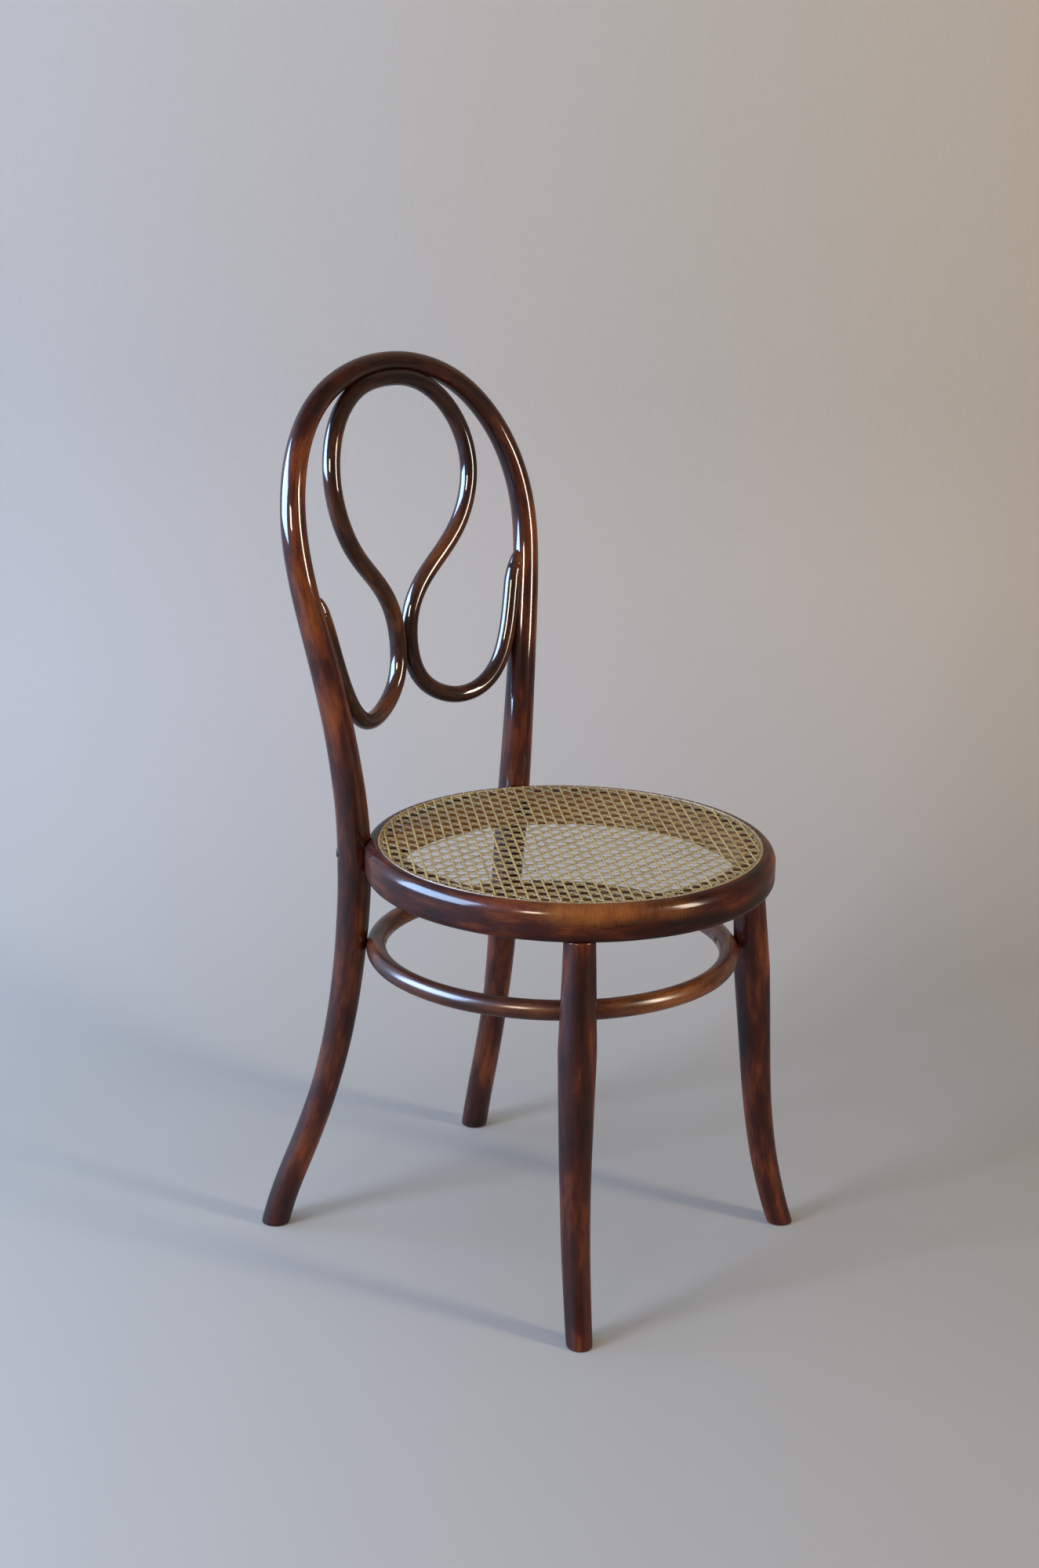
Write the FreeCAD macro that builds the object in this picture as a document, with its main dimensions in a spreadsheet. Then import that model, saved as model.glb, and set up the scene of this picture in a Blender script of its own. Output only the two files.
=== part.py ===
import FreeCAD, Part
import math
import os

import Sketcher
from FreeCAD import Placement, Rotation, Vector

# Bentwood bistro chair, in millimetres. Z is up and the chair faces -Y. The origin lies on the
# floor, under the middle of the chair's depth and width. The left and right of a piece are the
# sitter's. Depths in the table below are counted backward from the middle of the seat.

SIZES = {
    # where the middle of the round seat stands, in front of the origin
    "seat_middle": -30.4,
    # round seat frame: a bent ring, rounded outside, with a rebate for the cane
    "seat_top": 446.0,
    "frame_radius": 211.2,
    "frame_width": 35.0,
    "frame_thickness": 38.0,
    "frame_top_round": 12.5,
    "frame_under_round": 9.0,
    "frame_inner_round": 3.0,
    "rebate_width": 22.0,
    "rebate_depth": 2.0,
    # cane seat and the strip that covers its edge
    "cane_thickness": 3.2,
    "cane_margin": 0.8,
    "cane_gap_pitch": 24.0,
    "cane_gap_width": 18.0,
    "cane_solid_edge": 21.0,
    "binder_width": 5.0,
    "binder_height": 1.4,
    # back hoop: one tapering rod that makes both rear legs and the arch of the back. Each place is
    # a turn about the seat's middle from straight back, in degrees, a reach past the seat frame and a height
    "hoop_foot_turn": 33.66, "hoop_foot_reach": 98.2,
    "hoop_ankle_turn": 33.95, "hoop_ankle_reach": 91.4, "hoop_ankle_height": 33.0,
    "hoop_shin_turn": 34.15, "hoop_shin_reach": 63.1, "hoop_shin_height": 97.0,
    "hoop_knee_turn": 34.88, "hoop_knee_reach": 30.1, "hoop_knee_height": 202.0,
    "hoop_thigh_turn": 35.14, "hoop_thigh_reach": 12.9, "hoop_thigh_height": 329.0,
    "hoop_seat_turn": 37.21, "hoop_seat_reach": 7.9, "hoop_seat_height": 465.0,
    "hoop_waist_turn": 40.15, "hoop_waist_reach": 37.4, "hoop_waist_height": 623.0,
    "hoop_shoulder_turn": 42.94, "hoop_shoulder_reach": 79.5, "hoop_shoulder_height": 764.0,
    "hoop_brow_turn": 28.58, "hoop_brow_reach": 73.0, "hoop_brow_height": 886.0,
    "hoop_crown_reach": 49.6, "hoop_crown_height": 924.8,
    "hoop_foot_radius": 14.9,
    "hoop_knee_radius": 14.6,
    "hoop_seat_radius": 17.9,
    "hoop_shoulder_radius": 13.7,
    "hoop_crown_radius": 10.4,
    "hoop_seat_clearance": 0.15,
    # scroll inside the hoop: one thinner rod, from tip to loop to tear drop and back. Its end lies
    # an inset inside the upright's centre line, and the rest a span from the chair's middle
    "scroll_tip_inset": 17.7, "scroll_tip_height": 691.4,
    "scroll_bevel_inset": 22.0, "scroll_bevel_height": 671.9,
    "scroll_arm_inset": 20.2, "scroll_arm_height": 630.9,
    "scroll_turn_span": 124.1, "scroll_turn_height": 575.7,
    "scroll_outer_loop_span": 89.2, "scroll_outer_loop_height": 549.7,
    "scroll_inner_loop_span": 48.1, "scroll_inner_loop_height": 553.1,
    "scroll_lower_kiss_span": 8.2, "scroll_lower_kiss_height": 583.1,
    "scroll_upper_kiss_span": 7.7, "scroll_upper_kiss_height": 648.5,
    "scroll_neck_span": 36.7, "scroll_neck_height": 688.8,
    "scroll_drop_span": 89.9, "scroll_drop_height": 729.3,
    "scroll_side_span": 116.2, "scroll_side_height": 796.4,
    "scroll_brow_span": 96.7, "scroll_brow_height": 857.6,
    "scroll_arch_span": 50.5, "scroll_arch_height": 893.1,
    "scroll_crown_height": 898.3,
    "scroll_tip_radius": 9.0,
    "scroll_crown_radius": 9.4,
    "scroll_nose_round": 8.0,
    "scroll_clearance": 0.15,
    # the scroll bellies backward between the uprights, most where the back is leaned on
    "belly_depth": 35.6,
    "belly_full_height": 621.6,
    "belly_end_height": 888.3,
    "belly_fullness": 1.67,
    # front legs: swollen under the seat, then curving outward to the foot. Each place is a turn
    # from straight ahead, a reach past the seat frame and a height
    "leg_foot_turn": 48.5, "leg_foot_reach": 33.1,
    "leg_ankle_turn": 49.63, "leg_ankle_reach": 6.9, "leg_ankle_height": 71.7,
    "leg_knee_turn": 50.46, "leg_knee_reach": -2.4, "leg_knee_height": 215.0,
    "leg_ring_turn": 50.05, "leg_ring_reach": -15.1, "leg_ring_height": 358.3,
    "leg_top_turn": 50.23, "leg_top_reach": -20.2, "leg_top_rise": 22.0,
    "leg_foot_radius": 13.3,
    "leg_calf_radius": 15.4, "leg_calf_height": 145.0,
    "leg_swell_radius": 19.4, "leg_swell_height": 295.0,
    "leg_top_radius": 15.9,
    "tenon_radius": 9.5,
    "tenon_length": 26.0,
    "tenon_clearance": 0.1,
    # ring that ties the four legs together, let a little into each of them
    "ring_rod_radius": 10.3,
    "ring_height": 326.0,
    "ring_housing": 0.5,
    "ring_clearance": 0.1,
    # bolts that hold the hoop to the seat frame
    "bolt_radius": 3.0,
    "bolt_clearance": 0.2,
    "bolt_spot_depth": 0.5,
    "bolt_head_radius": 7.5,
    "bolt_head_height": 3.2,
    "bolt_tail": 2.0,
    "washer_radius": 8.0,
    "washer_thickness": 1.5,
    "nut_radius": 6.2,
    "nut_thickness": 5.0,
    # wood screws with slotted countersunk heads
    "screw_radius": 2.0,
    "screw_clearance": 0.05,
    "screw_head_radius": 4.0,
    "screw_head_height": 2.4,
    "screw_slot_width": 0.8,
    "screw_slot_depth": 0.9,
    "ring_screw_length": 32.0,
    "tip_screw_length": 30.0,
    "tip_screw_tilt": 25.0,
    "crown_screw_length": 26.0,
}

# How far the middle of one span of a bent rod may lie from its true curve, and the shortest
# span that is worth a section of its own, as a share of the rod.
SPAN_SAG = 0.8
SHORTEST_SPAN = 0.004
CURVE_STEPS = 2000
# A rod's drawn-out end, and the blocks that trim it, run past the floor and the seat frame.
OVERRUN = 14.0
BLOCK_SIDE = 700.0
BLOCK_HEIGHT = 150.0
NOSE_ANGLES = (15, 40, 65, 90)
HALVINGS = 40
TIP_SHARE = 0.1
HOOP_POLES = ("foot", "ankle", "shin", "knee", "thigh", "seat", "waist", "shoulder", "brow")
SCROLL_POLES = ("tip", "bevel", "arm", "turn", "outer_loop", "inner_loop", "lower_kiss", "upper_kiss",
                "neck", "drop", "side", "brow", "arch")
TIP_POLES = ("tip", "bevel", "arm")
LEG_POLES = ("foot", "ankle", "knee", "ring", "top")
# Shares of the hoop's half length at which each named thickness is reached.
HOOP_STOPS = ((0.0, "hoop_foot_radius"), (0.22, "hoop_knee_radius"), (0.45, "hoop_seat_radius"),
              (0.70, "hoop_shoulder_radius"), (1.0, "hoop_crown_radius"))
SCROLL_STOPS = ((0.0, "scroll_tip_radius"), (1.0, "scroll_crown_radius"))
FORWARD = Vector(0, -1, 0)
UP = Vector(0, 0, 1)
LEFT_SIDE = 1
RIGHT_SIDE = -1
BACK = 1
AHEAD = -1


# The table of sizes

def make_sheet(doc):
    """Put every driving size in a cell of its own."""
    sheet = doc.addObject("Spreadsheet::Sheet", "Sizes")
    for row, (alias, value) in enumerate(SIZES.items(), start=1):
        put_size(sheet, row, alias, value)
    doc.recompute()
    return sheet


def put_size(sheet, row, alias, value):
    sheet.set(f"A{row}", alias)
    sheet.set(f"B{row}", str(value))
    sheet.setAlias(f"B{row}", alias)


def size(sheet, alias):
    return float(sheet.get(alias))


# Smooth centre lines

def mirrored(points):
    """The same run of points on the chair's other side, in the opposite order."""
    return [Vector(-point.x, point.y, point.z) for point in reversed(points)]


def smooth_curve(poles):
    curve = Part.BSplineCurve()
    curve.buildFromPoles(poles)
    return curve


def extended(poles, length):
    """The poles with the first one drawn out along its own direction, to be cut off at the floor."""
    along = (poles[0] - poles[1]).normalize()
    return [poles[0] + along * length] + poles[1:]


def around_seat(sheet, name, side, heading, height):
    """A place named by its turn from straight back or ahead and its reach past the seat frame."""
    turn = math.radians(size(sheet, f"{name}_turn"))
    distance = size(sheet, "frame_radius") + size(sheet, f"{name}_reach")
    return Vector(side * distance * math.sin(turn), heading * distance * math.cos(turn), height)


def hoop_curve(sheet):
    """Centre line of the hoop, from the right rear foot over the crown to the left rear foot."""
    half = []
    for pole in HOOP_POLES:
        height = 0.0 if pole == "foot" else size(sheet, f"hoop_{pole}_height")
        half.append(around_seat(sheet, f"hoop_{pole}", RIGHT_SIDE, BACK, height))
    half = extended(half, OVERRUN)
    depth = size(sheet, "frame_radius") + size(sheet, "hoop_crown_reach")
    crown = Vector(0, depth, size(sheet, "hoop_crown_height"))
    return smooth_curve(half + [crown] + mirrored(half))


def share_at_height(curve, height, low=0.0, high=0.5):
    """Share of the curve, between low and high, at which it crosses the height."""
    rising = point_at(curve, high).z > point_at(curve, low).z
    for _ in range(HALVINGS):
        middle = (low + high) / 2
        if (point_at(curve, middle).z < height) == rising:
            low = middle
        else:
            high = middle
    return (low + high) / 2


def point_at(curve, share):
    first = curve.FirstParameter
    return curve.value(first + (curve.LastParameter - first) * share)


def level_point(curve, height, low=0.0, high=0.5):
    return point_at(curve, share_at_height(curve, height, low, high))


def direction_at(curve, share):
    first = curve.FirstParameter
    return Vector(curve.tangent(first + (curve.LastParameter - first) * share)[0])


def back_depth(sheet, hoop, span, height):
    """Depth of the back's surface: the hoop's own rake, with a belly between the uprights."""
    beside = point_at(hoop, share_at_height(hoop, height))
    full = size(sheet, "belly_full_height")
    end = size(sheet, "belly_end_height")
    fade = min(max((end - height) / (end - full), 0.0), 1.0)
    fade = fade * fade * (3 - 2 * fade)
    across = max(1 - (span / beside.x) ** 2, 0.0) ** size(sheet, "belly_fullness")
    return beside.y + size(sheet, "belly_depth") * fade * across


def scroll_curve(sheet, hoop):
    """Centre line of the scroll, from its right tip round the loops and the tear drop."""
    half = []
    for pole in SCROLL_POLES:
        height = size(sheet, f"scroll_{pole}_height")
        if pole in TIP_POLES:
            span = -level_point(hoop, height).x - size(sheet, f"scroll_{pole}_inset")
        else:
            span = size(sheet, f"scroll_{pole}_span")
        half.append(Vector(-span, back_depth(sheet, hoop, span, height), height))
    top = size(sheet, "scroll_crown_height")
    crown = Vector(0, back_depth(sheet, hoop, 0.0, top), top)
    return smooth_curve(half + [crown] + mirrored(half))


def leg_curve(sheet, side):
    """Centre line of one front leg, from under the floor to above the seat frame's underside."""
    heights = [0.0] + [size(sheet, f"leg_{pole}_height") for pole in LEG_POLES[1:-1]]
    heights.append(frame_underside(sheet) + size(sheet, "leg_top_rise"))
    poles = []
    for pole, height in zip(LEG_POLES, heights):
        poles.append(around_seat(sheet, f"leg_{pole}", side, AHEAD, height))
    return smooth_curve(extended(poles, OVERRUN))


def frame_underside(sheet):
    return size(sheet, "seat_top") - size(sheet, "frame_thickness")


# Round rods of changing thickness

def radius_terms(place, stops):
    """The two named radii that a place lies between, and how far it is from the first."""
    for (start, near), (end, far) in zip(stops, stops[1:]):
        if place <= end:
            return near, far, max(0.0, (place - start) / (end - start))
    return stops[-1][1], stops[-1][1], 0.0


def radius_at(sheet, place, stops):
    near, far, blend = radius_terms(place, stops)
    return size(sheet, near) * (1 - blend) + size(sheet, far) * blend


def radius_formula(place, stops):
    near, far, blend = radius_terms(place, stops)
    return f"Sizes.{near} * {1 - blend:.6f} + Sizes.{far} * {blend:.6f}"


def half_share(share):
    """How far a place lies from the nearer end of a rod, one being the middle."""
    return 2 * min(share, 1 - share)


def span_shares(curve, start, end):
    """Where to put sections from start to end, so that no span strays too far from the curve."""
    steps = int(CURVE_STEPS * (end - start))
    shares = [start]
    turned = 0.0
    run = 0.0
    for step in range(steps):
        share = start + (end - start) * step / steps
        after = start + (end - start) * (step + 1) / steps
        turned += direction_at(curve, share).getAngle(direction_at(curve, after))
        run += point_at(curve, share).distanceToPoint(point_at(curve, after))
        if turned * run / 8 >= SPAN_SAG and after < end - SHORTEST_SPAN:
            shares.append(after)
            turned = 0.0
            run = 0.0
    return shares + [end]


def both_halves(shares):
    """The sections of half a symmetrical rod and their mirror images."""
    return shares + [1 - share for share in reversed(shares[:-1])]


def section_placements(curve, shares):
    """A plane square to the curve at each share, none turned about it against the one before."""
    across = direction_at(curve, shares[0]).cross(FORWARD).normalize()
    placements = []
    for share in shares:
        along = direction_at(curve, share)
        across = (across - along * across.dot(along)).normalize()
        turn = Rotation(across, along.cross(across), along, "ZXY")
        placements.append(Placement(point_at(curve, share), turn))
    return placements


def add_rod(doc, name, curve, shares, formulas):
    """A round rod lofted through circles whose radii follow the formulas."""
    circles = []
    for number, placement in enumerate(section_placements(curve, shares)):
        circle = doc.addObject("Part::Circle", f"{name}_section_{number}")
        circle.Placement = placement
        circle.setExpression("Radius", formulas[number])
        circles.append(circle)
    rod = doc.addObject("Part::Loft", name)
    rod.Sections = circles
    rod.Solid = True
    rod.Ruled = True
    return rod


def nose_shares(curve, length):
    """Where the sections of a bullet-shaped tip lie along the curve."""
    first = curve.FirstParameter
    shares = []
    for angle in NOSE_ANGLES:
        distance = length * (1 - math.cos(math.radians(angle)))
        reached = curve.parameterAtDistance(distance, first) if distance > 0 else first
        shares.append((reached - first) / (curve.LastParameter - first))
    return shares


# Joining and cutting

def add_primitive(doc, kind, name, placement=Placement(), **formulas):
    """A primitive solid whose sizes are formulas of the table."""
    solid = doc.addObject(f"Part::{kind}", name)
    for property_name, formula in formulas.items():
        solid.setExpression(property_name, formula)
    solid.Placement = placement
    return solid


def add_block(doc, name, bottom):
    """A wide block whose underside lies at the bottom height, to trim rods level."""
    block = doc.addObject("Part::Box", name)
    block.Length = BLOCK_SIDE
    block.Width = BLOCK_SIDE
    block.Height = BLOCK_HEIGHT
    block.Placement.Base = Vector(-BLOCK_SIDE / 2, -BLOCK_SIDE / 2, 0)
    block.setExpression(".Placement.Base.z", bottom)
    return block


def add_shape(doc, name, shape):
    """A solid made by functions, for a form that no primitive has."""
    feature = doc.addObject("Part::Feature", name)
    feature.Shape = shape
    return feature


def add_cut(doc, name, base, tools):
    """The base less every tool."""
    cutters = doc.addObject("Part::Compound", f"{name}_cutters")
    cutters.Links = tools
    cut = doc.addObject("Part::Cut", name)
    cut.Base = base
    cut.Tool = cutters
    return cut


def finish(part, label):
    """Label a finished piece and move it from the seat's middle to the chair's own frame."""
    part.Label = label
    part.setExpression(".Placement.Base.y", "Sizes.seat_middle")
    return part


def along(start, direction):
    """A placement at the start whose Z runs along the direction."""
    return Placement(start, Rotation(UP, direction))


def turned(outline):
    """Turn an outline of radius and length pairs about Z."""
    corners = [Vector(radius, 0, length) for radius, length in outline]
    face = Part.Face(Part.makePolygon(corners + corners[:1]))
    return face.revolve(Vector(0, 0, 0), UP, 360)


def placed(shape, placement):
    copy = shape.copy()
    copy.Placement = placement
    return copy


# Places where the pieces meet, worked out on the centre lines

def on_side(point, side):
    """The point moved to one side of the chair."""
    return Vector(side * abs(point.x), point.y, point.z)


def outward(point, middle_depth=0.0):
    """Level direction from an upright axis in the middle of the chair to the point."""
    return Vector(point.x, point.y - middle_depth, 0).normalize()


def leg_radius_at(sheet, height):
    return radius_at(sheet, height, leg_stops(sheet))


def leg_stops(sheet):
    """Heights at which a front leg reaches each named thickness."""
    return ((0.0, "leg_foot_radius"), (size(sheet, "leg_calf_height"), "leg_calf_radius"),
            (size(sheet, "leg_swell_height"), "leg_swell_radius"),
            (frame_underside(sheet), "leg_top_radius"))


def hoop_radius_at(sheet, share):
    return radius_at(sheet, half_share(share), HOOP_STOPS)


def solve_leg_ring(sheet, hoop, leg):
    """Depth of the leg ring's middle and its radius, so that it bears on all four legs alike."""
    height = size(sheet, "ring_height")
    front = level_point(leg, height, 0.0, 1.0)
    rear_share = share_at_height(hoop, height)
    rear = point_at(hoop, rear_share)
    front_radius = leg_radius_at(sheet, height)
    rear_radius = hoop_radius_at(sheet, rear_share)
    low = front.y
    high = rear.y
    for _ in range(HALVINGS):
        middle = (low + high) / 2
        to_front = math.hypot(front.x, front.y - middle) - front_radius
        to_rear = math.hypot(rear.x, rear.y - middle) - rear_radius
        if to_front < to_rear:
            low = middle
        else:
            high = middle
    reach = to_front + size(sheet, "ring_housing")
    return middle, reach - size(sheet, "ring_rod_radius")


# Screws and bolts

def wood_screw(sheet, length):
    """Slotted countersunk screw: the flat top of its head lies at zero and its point up Z."""
    shank = size(sheet, "screw_radius")
    head = size(sheet, "screw_head_radius")
    depth = size(sheet, "screw_head_height")
    width = size(sheet, "screw_slot_width")
    slot_depth = size(sheet, "screw_slot_depth")
    body = turned([(0, 0), (head, 0), (shank, depth), (shank, length - 2 * shank), (0, length)])
    slot = Part.makeBox(2 * head, width, 2 * slot_depth, Vector(-head, -width / 2, -slot_depth))
    return body.cut(slot)


def screw_room(sheet, length):
    """The countersunk hole that a wood screw fills, open above its head."""
    clearance = size(sheet, "screw_clearance")
    shank = size(sheet, "screw_radius") + clearance
    head = size(sheet, "screw_head_radius") + clearance
    depth = size(sheet, "screw_head_height")
    bottom = length + clearance
    return turned([(0, -2 * head), (head, -2 * head), (head, 0), (shank, depth), (shank, bottom),
                   (0, bottom)])


def add_screws(doc, sheet, name, places, length):
    """A group of wood screws, each a solid of its own."""
    screw = wood_screw(sheet, length)
    group = add_shape(doc, name, Part.makeCompound([placed(screw, place) for place in places]))
    return finish(group, name)


def add_rooms(doc, sheet, name, places, length):
    """The holes for a group of screws."""
    room = screw_room(sheet, length)
    return [add_shape(doc, f"{name}_{number}", placed(room, place)) for number, place in enumerate(places)]


def ring_screw_places(sheet, hoop, leg, ring_depth, ring_radius):
    """The leg ring's screws: heads on its inner face, points in the four legs."""
    height = size(sheet, "ring_height")
    head = size(sheet, "screw_head_radius")
    middle = Vector(0, ring_depth, height)
    start = ring_radius - math.sqrt(size(sheet, "ring_rod_radius") ** 2 - head ** 2)
    legs = (level_point(hoop, height), level_point(leg, height, 0.0, 1.0))
    places = []
    for point in legs:
        for side in (RIGHT_SIDE, LEFT_SIDE):
            direction = outward(on_side(point, side), ring_depth)
            places.append(along(middle + direction * start, direction))
    return places


def tip_screw_places(sheet, hoop, scroll):
    """The scroll tips' screws: heads sunk in the backs of the uprights, points in the tips."""
    height = size(sheet, "scroll_bevel_height")
    tilt = math.radians(size(sheet, "tip_screw_tilt"))
    share = share_at_height(hoop, height)
    upright = point_at(hoop, share)
    tip = level_point(scroll, height, 0.0, TIP_SHARE)
    inward = Vector(tip.x - upright.x, tip.y - upright.y, 0).normalize()
    square = Vector(inward.y, -inward.x, 0)
    direction = inward * math.cos(tilt) + square * math.sin(tilt)
    nearest = tip - direction * (tip - upright).dot(direction)
    offset = nearest.distanceToPoint(upright) + size(sheet, "screw_head_radius")
    sunk = math.sqrt(max(hoop_radius_at(sheet, share) ** 2 - offset ** 2, 0.0))
    start = nearest - direction * sunk
    places = []
    for side in (RIGHT_SIDE, LEFT_SIDE):
        heading = Vector(-side * abs(direction.x), direction.y, 0)
        places.append(along(on_side(start, side), heading))
    return places


def crown_screw_place(sheet, scroll):
    """The screw that holds the scroll's crown up to the hoop, its head underneath."""
    crown = point_at(scroll, 0.5)
    radius = size(sheet, "scroll_crown_radius")
    sunk = math.sqrt(radius ** 2 - size(sheet, "screw_head_radius") ** 2)
    return along(crown - UP * sunk, UP)


def bolt_places(sheet, hoop):
    """The seat bolts' heads: spot-faced into the backs of the uprights, shanks toward the seat's middle."""
    height = size(sheet, "seat_top") - size(sheet, "frame_thickness") / 2
    share = share_at_height(hoop, height)
    upright = point_at(hoop, share)
    reach = math.sqrt(hoop_radius_at(sheet, share) ** 2 - size(sheet, "bolt_head_radius") ** 2)
    reach -= size(sheet, "bolt_spot_depth")
    places = []
    for side in (RIGHT_SIDE, LEFT_SIDE):
        direction = outward(on_side(upright, side))
        places.append(along(on_side(upright, side) + direction * reach, -direction))
    return places


def bolt_grip(sheet, place):
    """How far the washer lies from the bolt's head, against the seat frame's hollow inner face."""
    inner = size(sheet, "frame_radius") - size(sheet, "frame_width")
    washer_reach = math.sqrt(inner ** 2 - size(sheet, "washer_radius") ** 2)
    return math.hypot(place.Base.x, place.Base.y) - washer_reach


def bolt_rooms(doc, sheet, places):
    """The bores for the bolts, each wide outside its head."""
    shank = size(sheet, "bolt_radius") + size(sheet, "bolt_clearance")
    head = size(sheet, "bolt_head_radius") + size(sheet, "bolt_clearance")
    length = bolt_grip(sheet, places[0]) + shank
    room = turned([(0, -head), (head, -head), (head, 0), (shank, 0), (shank, length), (0, length)])
    return [add_shape(doc, f"bolt_room_{number}", placed(room, place)) for number, place in enumerate(places)]


# The wooden pieces

def add_seat_envelope(doc, sheet):
    """The seat frame's outer form with clearance, to notch the uprights where they hold it."""
    clearance = size(sheet, "hoop_seat_clearance")
    radius = size(sheet, "frame_radius") + clearance
    bottom = size(sheet, "seat_top") - size(sheet, "frame_thickness") - clearance
    height = size(sheet, "frame_thickness") + 2 * clearance
    disc = Part.makeCylinder(radius, height, Vector(0, 0, bottom))
    for rim_height, rim_round in ((bottom + height, "frame_top_round"), (bottom, "frame_under_round")):
        rims = [edge for edge in disc.Edges if is_rim(edge, radius, rim_height)]
        disc = disc.makeFillet(size(sheet, rim_round) + clearance, rims)
    return add_shape(doc, "seat_envelope", disc)


def is_rim(edge, radius, height):
    """Whether the edge is the circle about the seat's axis with this radius and height."""
    if not isinstance(edge.Curve, Part.Circle):
        return False
    return abs(edge.Curve.Radius - radius) < 0.01 and abs(edge.Curve.Center.z - height) < 0.01


def add_hoop(doc, curve, name, extra):
    shares = both_halves(span_shares(curve, 0.0, 0.5))
    formulas = [radius_formula(half_share(share), HOOP_STOPS) + extra for share in shares]
    return add_rod(doc, name, curve, shares, formulas)


def make_back_hoop(doc, curve, tools):
    """Both rear legs and the arch of the back, bent from one rod thickest at the seat."""
    rod = add_hoop(doc, curve, "hoop_rod", "")
    floor = add_block(doc, "hoop_floor", f"-{BLOCK_HEIGHT}")
    return finish(add_cut(doc, "hoop_cut", rod, [floor] + tools), "back_hoop")


def make_back_scroll(doc, sheet, curve, hoop, tools):
    """The scroll: tips against the uprights, loops, and a tear drop under the crown."""
    tip = nose_shares(curve, size(sheet, "scroll_nose_round"))
    half = tip + span_shares(curve, tip[-1], 0.5)[1:]
    formulas = []
    for number, share in enumerate(half):
        formula = radius_formula(half_share(share), SCROLL_STOPS)
        if number < len(NOSE_ANGLES):
            formula = f"({formula}) * sin({NOSE_ANGLES[number]} deg)"
        formulas.append(formula)
    formulas += formulas[-2::-1]
    rod = add_rod(doc, "scroll_rod", curve, both_halves(half), formulas)
    bed = add_hoop(doc, hoop, "scroll_bed", " + Sizes.scroll_clearance")
    return finish(add_cut(doc, "scroll_cut", rod, [bed] + tools), "back_scroll")


def origin_feature(body, role):
    for feature in body.Origin.OriginFeatures:
        if feature.Role == role:
            return feature
    raise LookupError(role)


def draw_outline(sketch, corners):
    """A closed outline whose corners are each held by a formula across and a formula up."""
    count = len(corners)
    starts = []
    for number in range(count):
        angle = 2 * math.pi * number / count
        starts.append(Vector(math.cos(angle), math.sin(angle), 0) * BLOCK_SIDE)
    for number in range(count):
        sketch.addGeometry(Part.LineSegment(starts[number], starts[(number + 1) % count]))
    for number in range(count):
        sketch.addConstraint(Sketcher.Constraint("Coincident", number, 2, (number + 1) % count, 1))
    for number, formulas in enumerate(corners):
        for kind, value, formula in zip(("DistanceX", "DistanceY"), starts[number], formulas):
            held = sketch.addConstraint(Sketcher.Constraint(kind, -1, 1, number, 1, value))
            sketch.setExpression(f"Constraints[{held}]", formula)


def round_rim(doc, body, name, radius, height, rounding):
    """Round the rim of a turned body that has the given radius and height."""
    doc.recompute()
    base = body.Tip
    rims = [f"Edge{number}" for number, edge in enumerate(base.Shape.Edges, start=1)
            if is_rim(edge, radius, height)]
    fillet = body.newObject("PartDesign::Fillet", name)
    fillet.Base = (base, rims)
    fillet.setExpression("Radius", rounding)
    body.Tip = fillet


def add_frame_body(doc, sheet):
    """The seat frame's ring, turned from its section and rounded, with the rebate for the cane."""
    body = doc.addObject("PartDesign::Body", "frame_body")
    sketch = body.newObject("Sketcher::SketchObject", "frame_section")
    sketch.AttachmentSupport = (origin_feature(body, "XZ_Plane"), [""])
    sketch.MapMode = "FlatFace"
    inner = "Sizes.frame_radius - Sizes.frame_width"
    step = "Sizes.frame_radius - Sizes.frame_width + Sizes.rebate_width"
    bottom = "Sizes.seat_top - Sizes.frame_thickness"
    ledge = "Sizes.seat_top - Sizes.rebate_depth"
    draw_outline(sketch, [(inner, bottom), ("Sizes.frame_radius", bottom), ("Sizes.frame_radius", "Sizes.seat_top"),
                          (step, "Sizes.seat_top"), (step, ledge), (inner, ledge)])
    ring = body.newObject("PartDesign::Revolution", "frame_ring")
    ring.Profile = (sketch, [""])
    ring.ReferenceAxis = (sketch, ["V_Axis"])
    ring.Angle = 360
    body.Tip = ring
    radius = size(sheet, "frame_radius")
    top = size(sheet, "seat_top")
    under = frame_underside(sheet)
    round_rim(doc, body, "top_rounding", radius, top, "Sizes.frame_top_round")
    round_rim(doc, body, "under_rounding", radius, under, "Sizes.frame_under_round")
    round_rim(doc, body, "inner_rounding", radius - size(sheet, "frame_width"), under,
              "Sizes.frame_inner_round")
    return body


def add_tenon(doc, name, leg, side, under, extra):
    """The round tenon on a leg, upright from the seat frame's underside, or the socket for it."""
    foot = on_side(level_point(leg, under, 0.0, 1.0), side)
    base = Vector(foot.x, foot.y, under - OVERRUN)
    return add_primitive(doc, "Cylinder", name, Placement(base, Rotation()),
                         Radius=f"Sizes.tenon_radius{extra}",
                         Height=f"Sizes.tenon_length{extra} + {OVERRUN}")


def make_seat_frame(doc, sheet, leg, tools):
    """The bent ring that the legs' tenons, the hoop's bolts and the cane are all fixed to."""
    under = frame_underside(sheet)
    body = add_frame_body(doc, sheet)
    sockets = [add_tenon(doc, f"socket_{number}", leg, side, under, " + Sizes.tenon_clearance")
               for number, side in enumerate((RIGHT_SIDE, LEFT_SIDE))]
    return finish(add_cut(doc, "frame_cut", body, sockets + tools), "seat_frame")


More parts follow.
